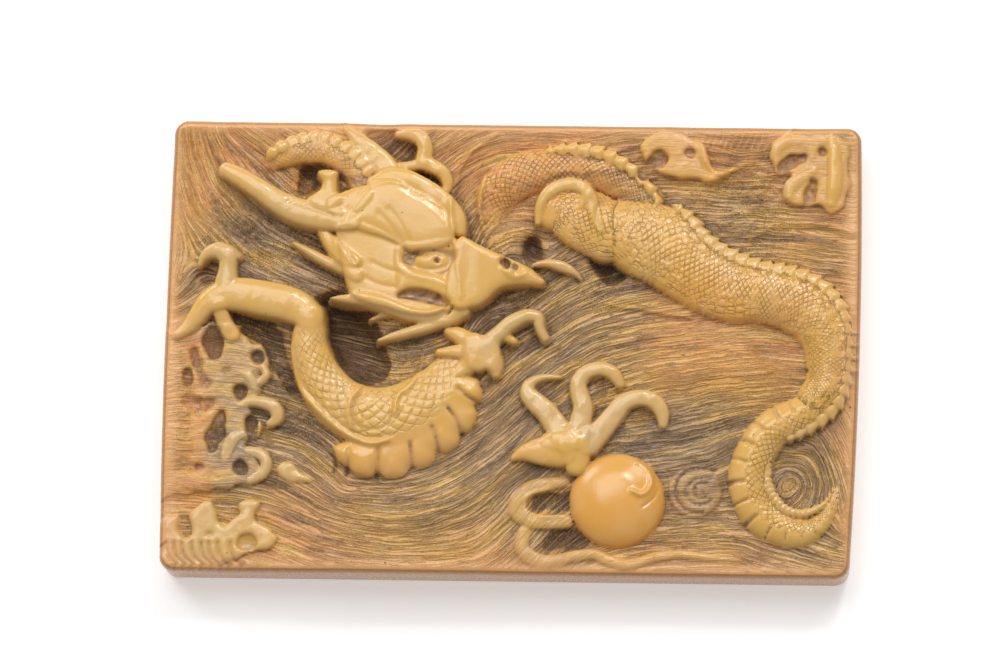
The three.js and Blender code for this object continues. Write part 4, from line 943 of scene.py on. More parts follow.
# How the ivory's tone drifts: x, y and reach on the sheet, from grey at -1 to orange at 1
tonePatches = [
    (792, 488, 24, -1.2), (715, 348, 50, 1.5), (660, 350, 30, 1), (770, 355, 24, 1.2), (350, 560, 80, 0.7),
    (420, 555, 60, 0.5), (600, 420, 26, -1), (640, 450, 30, -1), (720, 440, 36, -0.9), (430, 400, 24, -0.6),
    (500, 330, 24, -0.6), (300, 270, 30, -0.9), (250, 250, 26, -0.7), (745, 215, 34, -0.1),
    (545, 400, 20, -0.6), (780, 170, 30, 0.6), (185, 200, 30, 1.4), (190, 150, 26, 1.4),
    (240, 128, 40, 1.2), (400, 125, 40, 0.8), (560, 128, 60, 0.8), (740, 130, 60, 1.2), (770, 200, 30, 0.8),
    (848, 220, 16, 1.6), (852, 380, 14, 1.6), (852, 520, 16, 1.4), (185, 440, 18, 1.6), (182, 350, 16, 1.4),
    (190, 490, 18, 1.4), (200, 415, 16, 1.2), (172, 400, 26, 1), (168, 340, 20, 0.9), (170, 470, 26, 1),
    (166, 540, 16, 0.8), (232, 440, 22, -0.9), (270, 410, 16, -0.9), (205, 160, 34, 1), (225, 200, 24, 0.6),
    (270, 240, 34, -0.6), (330, 128, 40, 0.8), (480, 145, 40, 1.2), (510, 200, 26, 0.9),
    (560, 130, 60, 1.1), (305, 185, 12, 1.2), (330, 190, 12, 1), (262, 400, 18, -1.2), (240, 470, 18, -1),
    (262, 345, 14, -0.7), (700, 150, 30, 0.7), (745, 175, 34, 0.6), (745, 218, 30, -0.3),
    (800, 240, 40, 0.7), (835, 170, 20, 0.8), (850, 300, 20, 1), (852, 450, 24, 1), (640, 340, 30, 0.2),
    (700, 340, 46, 1), (740, 380, 36, 0.6), (560, 345, 40, -0.5), (470, 470, 46, -0.35),
    (420, 520, 60, 0.1), (330, 520, 50, 0.3), (300, 430, 34, -0.5), (400, 350, 30, -0.7),
    (352, 340, 26, -0.2), (620, 440, 40, -0.9), (700, 450, 40, -0.7), (700, 540, 60, -0.6),
    (800, 480, 34, -0.5), (530, 540, 40, -0.5), (600, 290, 30, -0.3), (540, 420, 34, -0.6),
    (800, 560, 40, -0.2), (300, 572, 60, 1.7), (500, 575, 60, 1.7), (700, 577, 80, 1.7),
]

# Diamond scales that overlap towards the tail
def scaleRelief(first, second):
    a, b = first % 1, second % 1
    edge = np.minimum(np.minimum(a, 1 - a), np.minimum(b, 1 - b))
    return (a + b - 1) * 0.5 + fade(edge, 0, 0.22) - 1

# The rows of scales that cross a form, how much they show, and the cuts between its belly plates.
# Turns count the way along in half widths, and side runs from -1 at the belly to 1 at the back
def scaleRows(rows, turns, side, clear):
    across = np.arcsin(np.clip(side, -1, 1)) / rows["wide"]
    first, second = turns / rows["long"] + across, turns / rows["long"] - across
    begun = fade(turns, rows["start"], rows["start"] + 0.6)
    shows = fade(-clear, 0.05, 0.3) * begun
    shows *= 1 - fade(turns, rows["stop"] - 0.6, rows["stop"])
    shows *= fade(side, rows["belly"] - 0.05, rows["belly"] + 0.05)
    plateCut = np.zeros(turns.shape)
    if "plates" in rows:
        plateCut = (1 - fade(side, rows["belly"] - 0.1, rows["belly"])) * fade(-clear, -0.1, 0.1) * begun
        plateCut *= 1 - fade(np.abs((turns / rows["plates"]) % 1 - 0.5), 0.02, 0.13)
    return first, second, shows, plateCut

# A fin's edge drawn in between its teeth, and the notch that parts them
def toothed(teeth, clear, travel):
    phase = travel * sheetScale / teeth["pitch"] % 1
    tooth = np.abs(np.sin(np.pi * phase)) ** 0.6 if teeth["scallop"] else phase ** 1.4
    notch = 1 - fade(np.minimum(phase, 1 - phase), 0.0, 0.16)
    return clear + teeth["reach"] / sheetScale * (1 - tooth), cutting["toothNotch"] * notch

# How near a place is to one of the slab's ends, from 0 inside the rim's width to 1 at the end
def nearEnd(place, length):
    return np.clip((np.abs(place) - length / 2 + cutting["rimWidth"]) / cutting["rimWidth"], 0, 1)

# The carving at any set of points, as their heights and what the finish needs to know of them
class Carving:
    def __init__(self, x, y):
        self.x, self.y = x, y
        rim = nearEnd(x, slab["width"]) ** cutting["rimCurve"]
        rim = rim + nearEnd(y, slab["height"]) ** cutting["rimCurve"]
        self.height = cutting["groundLevel"] + cutting["rimRise"] * rim
        for sheetX, sheetY, spread, rise in swells:
            self.height += rise * self.mound(sheetX, sheetY, spread, cutting["groundLevel"])
        self.ground = np.ones(x.shape)    # 1 on the water, 0 on what stands on it
        # hollow darkens cut hollows and the feet of walls, with stain and painted shade
        self.hollow = np.zeros(x.shape)   # 1 in a cut hollow
        self.soil = np.zeros(x.shape)     # how far a whole form is browned
        self.polish = np.zeros(x.shape)   # above 1 leaves out the knife's facets
        self.tone = np.zeros(x.shape)     # from green at -1 to orange at 1
        self.net = np.zeros((len(x), 3))  # scale rows along, rows across, how much they show

    # 1 at a place on the sheet, falling off round it
    def mound(self, sheetX, sheetY, spread, level):
        middle = onPlaque(sheetX, sheetY, level)
        square = (self.x - middle[0]) ** 2 + (self.y - middle[1]) ** 2
        return np.exp(-square / (spread / sheetScale) ** 2)

    def within(self, low, high, margin):
        return np.nonzero((self.x > low[0] - margin) & (self.x < high[0] + margin)
                          & (self.y > low[1] - margin) & (self.y < high[1] + margin))[0]

    # The points near a thin line, and how far from it they are
    def alongLine(self, line, margin):
        index = self.within(line.min(0), line.max(0), margin)
        x, y = self.x[index], self.y[index]
        away = np.full(x.shape, 9.0)
        for a, b in zip(line[:-1], line[1:]):
            run = b - a
            t = np.clip(((x - a[0]) * run[0] + (y - a[1]) * run[1]) / (run @ run + 1e-12), 0, 1)
            away = np.minimum(away, np.hypot(x - a[0] - run[0] * t, y - a[1] - run[1] * t))
        return index, away

    # The points near a brush line, how far outside it they are, and the line's own values there
    def alongBrush(self, path, margin=1.6):
        line = smoothLine([[*onPlaque(x, y, top), half / sheetScale, top] for x, y, half, top in path])
        index = self.within(line[:, :2].min(0), line[:, :2].max(0), line[:, 2].max() + margin)
        x, y = self.x[index], self.y[index]
        clear = np.full(x.shape, 9.0)
        half = np.ones(x.shape)
        top, turns, side, travel = [np.zeros(x.shape) for _ in range(4)]
        turned = travelled = 0.0
        for a, b in zip(line[:-1], line[1:]):
            run = b[:2] - a[:2]
            length = np.hypot(*run)
            low, high = np.minimum(a[:2], b[:2]), np.maximum(a[:2], b[:2])
            reach = max(a[2], b[2]) + margin
            near = np.nonzero((x > low[0] - reach) & (x < high[0] + reach)
                              & (y > low[1] - reach) & (y < high[1] + reach))[0]
            offX, offY = x[near] - a[0], y[near] - a[1]
            t = np.clip((offX * run[0] + offY * run[1]) / (length ** 2 + 1e-12), 0, 1)
            awayX, awayY = offX - run[0] * t, offY - run[1] * t
            away = np.hypot(awayX, awayY)
            wide = a[2] + (b[2] - a[2]) * t
            better = away - wide < clear[near]
            here = near[better]
            clear[here] = (away - wide)[better]
            half[here] = wide[better]
            top[here] = (a[3] + (b[3] - a[3]) * t)[better]
            turns[here] = (turned + t * length / ((a[2] + b[2]) / 2))[better]
            travel[here] = (travelled + t * length)[better]
            side[here] = (np.sign(run[0] * awayY - run[1] * awayX) * away / wide)[better]
            turned += length / ((a[2] + b[2]) / 2)
            travelled += length
        return index, clear, half, top, turns, side, travel

    # Joins a form to what stands there. Its walls are darkened at their foot with stain and painted
    # shade, and keep is how much of the water's lines run on over it
    def settle(self, index, height, outside, form, blend=cutting["blend"]):
        before = self.height[index]
        share = fade(height - before, -0.06, 0.14)
        self.height[index] = (before + height + np.hypot(before - height, form.get("blend", blend))) / 2
        self.ground[index] *= 1 - share * (1 - form.get("keep", 0.0))
        self.hollow[index] += (cutting["wallStainAndShade"] * fade(outside, -0.08, 0.16) - self.hollow[index]) * share
        for field, value in ((self.soil, form.get("soil", 0.0)), (self.polish, form.get("polish", 1.0)),
                             (self.tone, form.get("tone", 0.0))):
            field[index] += (value - field[index]) * share
        self.net[index, 2] *= 1 - share
        return share

    def raiseBrush(self, form):
        index, clear, half, top, turns, side, travel = self.alongBrush(form["path"])
        notch = 0.0
        if "teeth" in form:
            clear, notch = toothed(form["teeth"], clear, travel)
        part = np.clip(clear / half + 1, 0, 1)
        fallen = form["crown"] * shoulder(part, form.get("round", cutting["round"]))
        wall = form["crown"] + cutting["wallSlope"] * clear
        height = top - np.where(clear < 0, fallen, wall) - notch
        if "scales" not in form:
            self.settle(index, height, clear, form)
            return
        rows = form["scales"]
        first, second, shows, plateCut = scaleRows(rows, turns, side, clear)
        height = height + rows["depth"] * scaleRelief(first, second) * shows
        height = height - cutting["plateNotch"] * plateCut
        covered = self.settle(index, height, clear, form) > 0.5
        self.hollow[index] = np.maximum(self.hollow[index], 0.9 * plateCut)
        self.net[index[covered]] = np.stack([first, second, shows * rows["ink"]], -1)[covered]

    # Cuts a hollow along a path and darkens it by the given share, as stain and painted shade
    def cutBrush(self, path, stainAndShade=1.0, wobble=0.0, slope=cutting["pitSlope"], blend=cutting["blend"]):
        index, clear, half, floor = self.alongBrush(path)[:4]
        clear = clear + wobble * lumps(self.x[index], self.y[index], 0.9, 15)
        dish = cutting["pitDish"] * half
        height = np.where(clear < 0, floor + dish * np.clip(clear / half + 1, 0, 1) ** 2,
                          floor + dish + slope * clear)
        before = self.height[index]
        self.height[index] = (before + height - np.hypot(before - height, blend)) / 2
        share = fade(before - height, -0.05, 0.3)
        self.hollow[index] = np.maximum(self.hollow[index], share * stainAndShade)
        self.polish[index] *= 1 - share
        self.net[index, 2] *= 1 - share

    def raisePlate(self, form):
        line = smoothLine([onPlaque(x, y, form["top"]) for x, y in form["outline"]], closed=True)
        index, away = self.alongLine(line, 1.6)
        x, y = self.x[index], self.y[index]
        inside = np.zeros(x.shape, bool)
        for a, b in zip(line[:-1], line[1:]):
            level = (y - a[1]) / (b[1] - a[1] + 1e-12)
            inside ^= ((a[1] > y) != (b[1] > y)) & (x < a[0] + (b[0] - a[0]) * level)
        outside = np.where(inside, -away, away) + form.get("wobble", 0) * lumps(x, y, 0.9, 16)
        part = 1 - np.clip(np.abs(outside) / (form["bevel"] / sheetScale), 0, 1)
        slant = form.get("fall", 0) * (x - (line[:, 0].min() + line[:, 0].max()) / 2)
        wall = form["crown"] + cutting["wallSlope"] * np.abs(outside)
        over = slant - form["crown"] * shoulder(part, cutting["round"])
        height = form["top"] + np.where(outside < 0, over, -wall)
        self.settle(index, height, outside, form)

    def raiseDome(self, form):
        top, drop = form["top"], form["drop"]
        middle = onPlaque(*form["at"], top - drop / 2)
        halfX, halfY = form["half"][0] / sheetScale, form["half"][1] / sheetScale
        index = self.within(middle, middle, max(halfX, halfY) + 1.2)
        part = np.hypot((self.x[index] - middle[0]) / halfX, (self.y[index] - middle[1]) / halfY)
        outside = (part - 1) * min(halfX, halfY)
        height = top - np.where(part < 1, drop * shoulder(part, cutting["domeRound"]),
                                drop + cutting["wallSlope"] * outside)
        self.settle(index, height, outside, form, cutting["domeBlend"])

    # A fine line, cut when depth is above 0 and raised when below
    def scribe(self, path, level, width, depth):
        line = smoothLine([onPlaque(x, y, level) for x, y in path], steps=4)
        index, away = self.alongLine(line, 4 * width)
        mark = np.exp(-(away / width) ** 2)
        self.height[index] -= depth * mark
        self.net[index, 2] *= 1 - mark
        if depth > 0:
            self.hollow[index] = np.maximum(self.hollow[index], min(0.8, 4 * depth) * mark)
        else:
            self.hollow[index] *= 1 - 0.7 * mark

    # How stippled each point is
    def roughness(self):
        rough = np.zeros(self.x.shape)
        for sheetX, sheetY, spread, much in roughPatches:
            middle = onPlaque(sheetX, sheetY, water["lineLevel"])
            away = np.hypot(self.x - middle[0], self.y - middle[1]) / (spread / sheetScale)
            rough = np.maximum(rough, much * (1 - fade(away, 0.6, 1.25)))
        return rough * np.maximum(self.ground, np.clip(self.hollow, 0, 0.9))

    # How the tone drifts from orange to grey over the water and the rim
    def drift(self):
        total = np.full(self.x.shape, 0.25)
        toned = np.zeros(self.x.shape)
        for sheetX, sheetY, spread, tone in tonePatches:
            near = self.mound(sheetX, sheetY, spread, water["toneLevel"])
            toned += tone * near
            total += near
        return toned / total

    # The water's lines, and lumps drawn out along them
    def finishWater(self):
        x, y = self.x, self.y
        self.rough = self.roughness()
        self.lines = sample(lineField, linePlace, x, y)
        self.lines += 0.2 * lumps(x, y, 2.3, 3) + 0.1 * lumps(x, y, 0.8, 4)
        streak = lumps(self.lines / 1.4, (x * 0.6 + y) / 5, 1.0, 5)
        strand = lumps(self.lines / 2.4, (x * 0.6 - y) / 6, 1.0, 13)
        swell = lumps(self.lines / 4.6, (x * 0.6 - y) / 9, 1.0, 6)
        strength = np.clip(0.6 + 0.7 * streak + 0.3 * lumps(x, y, 1.4, 11), 0.05, 1) * (1 - 0.7 * self.rough)
        self.lineStrength = self.ground * strength * (1 - 0.6 * self.hollow)
        inward = np.minimum(slab["width"] / 2 - np.abs(x), slab["height"] / 2 - np.abs(y))
        self.ground = self.ground * (0.35 + 0.65 * fade(inward, 0.3, 1.1))
        ridge = 1 - np.abs(np.sin(np.pi * self.lines)) ** 0.7
        waves = water["swell"] * swell + water["strand"] * (0.5 - np.abs(strand)) + water["streak"] * streak
        self.height += self.ground * (1 - self.rough) * waves
        self.height += self.ground * water["lumps"] * lumps(x, y, 0.5, 9)
        self.height -= self.lineStrength * water["lineDepth"] * ridge

    # The stipple's grit, the knife's facets on what stands on the water, and the rubbed-down crests
    def finishFaces(self):
        x, y = self.x, self.y
        self.height += cutting["grit"] * self.rough * (lumps(x, y, 0.34, 7) + 0.6 * lumps(x, y, 0.2, 8))
        turnX, turnY = 0.8 * x + 0.6 * y, 0.8 * y - 0.6 * x
        facets = 0.8 * np.abs(lumps(turnX, turnY, 1.9, 10)) + 0.7 * np.abs(lumps(x, turnY, 1.1, 12))
        facets += 0.3 * lumps(x, y, 0.45, 14)
        cut = (1 - self.ground) * np.clip(5 - 4 * self.polish, 0, 1)
        self.height += cutting["facets"] * (0.45 - facets) * cut
        self.height -= cutting["rubbed"] * np.clip(self.height - cutting["worn"], 0, None)
        self.tone += (self.drift() - self.tone) * np.clip(self.ground + 0.25 + 2 * self.soil, 0, 1)

# The whole carving, in a carver's order
def carve(x, y):
    piece = Carving(x, y)
    for path in groundHollows.values():
        piece.cutBrush(path, wobble=0.15, slope=cutting["groundSlope"], blend=cutting["groundBlend"])
    for form in farPlates.values():
        piece.raisePlate(form)
    for form in farForms.values():
        piece.raiseBrush(form)
    for path in foamHoles.values():
        piece.cutBrush(path, stainAndShade=0.7, wobble=0.25)
    for form in nearForms.values():
        piece.raiseBrush(form)
    for form in nearPlates.values():
        piece.raisePlate(form)
    piece.cutBrush(eyeSocket, stainAndShade=0.5)
    for form in domes.values():
        piece.raiseDome(form)
    piece.cutBrush(mouth)
    # The nostrils and the pupil are darkened nearly black, as painted shade in the holes
    for path in faceHoles.values():
        piece.cutBrush(path, stainAndShade=2.0)
    for mark in marks.values():
        for path in mark["paths"]:
            piece.scribe(path, mark["level"], mark["width"], mark["depth"])
    for comb in combs.values():
        for start in comb["starts"]:
            path = [(start + x, y) for x, y in comb["path"]]
            piece.scribe(path, comb["level"], comb["width"], comb["depth"])
    piece.finishWater()
    piece.finishFaces()
    return piece

# The carving's heights on a net, for the lattice to follow and to tell how deep each place lies
def netCarving():
    netX, netY, place = netPoints(nets["carvingStep"])
    return carve(netX.ravel(), netY.ravel()).height.reshape(netX.shape), place

netHeights, netPlace = netCarving()
print("carving laid out")

# How the lattice is drawn onto steep walls: passes, how far each goes, and the pull of a height step
drawing = {"passes": 70, "step": 0.7, "pull": 7.0}

# One pass: each value moves towards its neighbours' mean, and the first and last columns stay
def relaxed(field, across, along):
    mean = np.zeros(field.shape)
    total = np.zeros(field.shape)
    mean[:, 1:] += across * field[:, :-1]
    mean[:, :-1] += across * field[:, 1:]
    mean[1:-1] += along[:-1] * field[:-2]
    mean[1:-1] += along[1:] * field[2:]
    total[:, 1:] += across
    total[:, :-1] += across
    total[1:-1] += along[:-1] + along[1:]
    moved = field + drawing["step"] * (mean / total - field)
    moved[:, 0], moved[:, -1] = field[:, 0], field[:, -1]
    return moved

def drawnLattice():
    u, v = np.meshgrid(np.linspace(-1, 1, slab["columns"] + 1), np.linspace(-1, 1, slab["rows"] + 1))
    for _ in range(drawing["passes"]):
        x, y = facePoint(u, v, slab["faceInset"])
        level = sample(netHeights, netPlace, x, y)
        across = 1 + drawing["pull"] * np.abs(np.diff(level, axis=1))
        along = 1 + drawing["pull"] * np.abs(np.diff(level, axis=0))
        u, v = relaxed(u, across, along), relaxed(v.T, along.T, across.T).T
    return u, v

latticeU, latticeV = drawnLattice()
print("lattice drawn")

# A flat grid whose rim is extruded once for each ring down the side; its height counts the ring
def ringedGrid(rings):
    bm = bmesh.new()
    bmesh.ops.create_grid(bm, x_segments=slab["columns"], y_segments=slab["rows"], size=1)
    edges = [edge for edge in bm.edges if edge.is_boundary]
    for _ in rings:
        made = bmesh.ops.extrude_edge_only(bm, edges=edges)["geom"]
        verts = [item for item in made if isinstance(item, bmesh.types.BMVert)]
        bmesh.ops.translate(bm, verts=verts, vec=(0, 0, -1))
        edges = [item for item in made if isinstance(item, bmesh.types.BMEdge) and item.is_boundary]
    bmesh.ops.contextual_create(bm, geom=edges)
    bmesh.ops.recalc_face_normals(bm, faces=bm.faces)
    mesh = bpy.data.meshes.new("ivoryPlaque")
    bm.to_mesh(mesh)
    bm.free()
    return mesh

# A net's heights with everything smaller than the reach smoothed away
def blurred(heights, reach, step):
    pad = int(3 * reach / step)
    padded = np.pad(heights, pad, mode="edge")
    waveX = np.fft.rfftfreq(padded.shape[1], step) * 2 * np.pi
    waveY = np.fft.fftfreq(padded.shape[0], step)[:, None] * 2 * np.pi
    fall = np.exp(-(waveX ** 2 + waveY ** 2) * reach ** 2 / 2)
    soft = np.fft.irfft2(np.fft.rfft2(padded) * fall, padded.shape)
    return soft[pad:-pad, pad:-pad]

# How the ivory is darkened: shares of stain and of painted shade in cuts, on walls and in recesses, and
# darker the lower the relief lies; reaches, depths and heights in millimetres
stainAndShadeShares = {
    "ground": 0.34, "orangeGround": 0.07, "patchy": 0.1, "hollow": 0.45, "deep": 0.4, "low": 0.2, "side": 0.4,
    "nearReach": 0.45, "nearDepth": 0.389, "farReach": 2.2, "farDepth": 1.6,
    "lowFrom": 6.4, "lowSpan": 2.2, "rimReach": 2.5,
}

# What the finish reads at each point of the mesh
def finishAttributes(piece, x, y, height, onFace):
    # How far each point lies below its surroundings, near and far, which darkens recesses as stain and
    # painted shade
    near = sample(blurred(netHeights, stainAndShadeShares["nearReach"], netPlace[2]) - netHeights, netPlace, x, y)
    far = sample(blurred(netHeights, stainAndShadeShares["farReach"], netPlace[2]) - netHeights, netPlace, x, y)
    deep = 0.5 * np.clip(near / stainAndShadeShares["nearDepth"], -1, 1)
    deep += 0.5 * np.clip(far / stainAndShadeShares["farDepth"], -0.6, 1)
    tone = np.clip(piece.tone, -1, 1)
    ground = stainAndShadeShares["ground"] - stainAndShadeShares["orangeGround"] * tone + stainAndShadeShares["patchy"] * lumps(x, y, 5.0, 18)
    stainAndShade = ground * piece.ground + stainAndShadeShares["hollow"] * piece.hollow + stainAndShadeShares["deep"] * deep
    stainAndShade += stainAndShadeShares["low"] * fade(stainAndShadeShares["lowFrom"] - height, 0, stainAndShadeShares["lowSpan"]) + piece.soil
    stainAndShade = np.where(onFace, np.clip(stainAndShade, 0, 1), stainAndShadeShares["side"])
    inward = np.minimum(slab["width"] / 2 - np.abs(x), slab["height"] / 2 - np.abs(y))
    nearRim = np.clip(1 - inward / stainAndShadeShares["rimReach"], 0, 1)
    return {
        "water": (piece.lines, piece.lineStrength * onFace, piece.rough * onFace),
        "scaleNet": (piece.net[:, 0], piece.net[:, 1], piece.net[:, 2] * onFace),
        "finish": (stainAndShade, nearRim, deep * onFace),
        "tint": (np.where(onFace, tone, 2), piece.ground * onFace, np.zeros(len(x))),
    }

def buildPlaque():
    rings = slab["sideRings"] + slab["footRings"]
    mesh = ringedGrid(rings)
    spots = np.empty(len(mesh.vertices) * 3)
    mesh.vertices.foreach_get("co", spots)
    spots = spots.reshape(-1, 3)
    column = np.rint((spots[:, 0] + 1) / 2 * slab["columns"]).astype(int)
    row = np.rint((spots[:, 1] + 1) / 2 * slab["rows"]).astype(int)
    ring = np.rint(-spots[:, 2]).astype(int)
    u, v = latticeU[row, column], latticeV[row, column]
    x, y = facePoint(u, v, slab["faceInset"])
    carving = carve(x, y)
    height = carving.height.copy()
    for count, (inset, drop) in enumerate(rings):
        here = ring == count + 1
        x[here], y[here] = facePoint(u[here], v[here], inset)
        height[here] = drop if count >= len(slab["sideRings"]) else carving.height[here] - drop
    mesh.vertices.foreach_set("co", (np.stack([x, y, height], -1) * mm).ravel())
    for name, values in finishAttributes(carving, x, y, height, ring == 0).items():
        attribute = mesh.attributes.new(name, "FLOAT_VECTOR", "POINT")
        attribute.data.foreach_set("vector", np.stack(values, -1).astype(np.float32).ravel())

    # Smooth all over but for the flat back, which keeps a sharp edge
    mesh.polygons.foreach_set("use_smooth", [len(face.vertices) == 4 for face in mesh.polygons])
    back = max(mesh.polygons, key=lambda face: len(face.vertices))
    backEdges = set(back.edge_keys)
    for edge in mesh.edges:
        if edge.key in backEdges:
            edge.use_edge_sharp = True
    mesh.update()
    made = bpy.data.objects.new("ivoryPlaque", mesh)
    bpy.context.scene.collection.objects.link(made)
    return made

plaque = buildPlaque()
print("plaque built:", len(plaque.data.polygons), "faces")

# The ivory, from its clean face to the stain left in its cuts and the painted shade in its deepest hollows;
# tones are linear red, green and blue
ivory = {
    "clean": (0.82, 0.48, 0.12), "warm": (0.88, 0.425, 0.085), "olive": (0.70, 0.48, 0.225),
    "pale": (0.86, 0.545, 0.25), "ground": (0.60, 0.365, 0.165), "orange": (0.84, 0.37, 0.125),
    "grey": (0.45, 0.315, 0.195), "dark": (0.125, 0.068, 0.034), "rust": (0.27, 0.115, 0.05),
    "sootAndShade": (0.035, 0.022, 0.014), "rimTone": (0.84, 0.45, 0.19), "side": (0.50, 0.235, 0.08),
    "polished": 0.2, "dull": 0.42,       # roughness
    "glow": 0.16, "glowReach": 0.0009,   # share of light that goes in, and how far in metres
    # sizes in millimetres
    "fineSize": 0.35, "broadSize": 5.0, "gritSize": 0.12, "paleSize": 3.4, "poreSize": 0.75,
    # how fully each tone covers what is under it
    "lightStreaks": 0.85, "darkStreaks": 0.66, "warmPatches": 0.3, "palePatches": 0.25, "deepest": 0.8,
    "rimCover": 0.8, "waterCuts": 0.63, "scaleCuts": 0.45, "crests": 0.4, "pores": 0.7,
    # relief finer than the mesh, in millimetres
    "cutDepth": 0.11, "scaleDepth": 0.06, "fineGround": 0.05, "fineFace": 0.012,
    "gritGround": 0.06, "gritFace": 0.003,
}

# A material's nodes, made so that a value or another node's output can go into any of them
class Shading:
    def __init__(self, tree):
        self.nodes, self.links = tree.nodes, tree.links
        self.nodes.clear()
        self.place = self.nodes.new("ShaderNodeTexCoord").outputs["Object"]

    def add(self, kind, **settings):
        made = self.nodes.new(kind)
        for name, value in settings.items():
            setattr(made, name, value)
        return made

    def join(self, value, socket):
        if isinstance(value, bpy.types.NodeSocket):
            self.links.new(value, socket)
        else:
            socket.default_value = value

    def calc(self, operation, first, second=0.0, third=0.0, clamp=False):
        made = self.add("ShaderNodeMath", operation=operation, use_clamp=clamp)
        for socket, value in zip(made.inputs, (first, second, third)):
            self.join(value, socket)
        return made.outputs[0]

    def times(self, first, second, clamp=False):
        return self.calc("MULTIPLY", first, second, clamp=clamp)

    def remap(self, value, low, high, toLow=0.0, toHigh=1.0):
        made = self.add("ShaderNodeMapRange", interpolation_type="SMOOTHSTEP")
        for socket, setting in zip(made.inputs, (value, low, high, toLow, toHigh)):
            self.join(setting, socket)
        return made.outputs["Result"]

    def blend(self, share, first, second):
        made = self.add("ShaderNodeMix", data_type="RGBA")
        self.join(share, made.inputs["Factor"])
        for name, value in (("A", first), ("B", second)):
            socket = [item for item in made.inputs if item.name == name and item.type == "RGBA"][0]
            self.join(value if isinstance(value, bpy.types.NodeSocket) else (*value, 1.0), socket)
        return [item for item in made.outputs if item.type == "RGBA"][0]

    def parts(self, vector):
        made = self.add("ShaderNodeSeparateXYZ")
        self.links.new(vector, made.inputs[0])
        return made.outputs[:]

    def attribute(self, name):
        return self.parts(self.add("ShaderNodeAttribute", attribute_name=name).outputs["Vector"])

    # Noise with spots of about the given size in millimetres
    def noise(self, size, detail=3.0):
        made = self.add("ShaderNodeTexNoise")
        self.links.new(self.place, made.inputs["Vector"])
        made.inputs["Scale"].default_value = 1000 / size
        made.inputs["Detail"].default_value = detail
        made.inputs["Roughness"].default_value = 0.55
        return made.outputs["Fac"]

    # Noise drawn out along the water's lines: it changes fast across them and slowly along
    def drawnNoise(self, lines, across, along, detail):
        placeX, placeY, _ = self.parts(self.place)
        drawn = self.add("ShaderNodeCombineXYZ")
        self.join(self.times(lines, across), drawn.inputs[0])
        self.join(self.times(placeX, along), drawn.inputs[1])
        self.join(self.times(placeY, along), drawn.inputs[2])
        made = self.add("ShaderNodeTexNoise")
        self.links.new(drawn.outputs[0], made.inputs["Vector"])
        made.inputs["Scale"].default_value = 1.0
        made.inputs["Detail"].default_value = detail
        return made.outputs["Fac"]

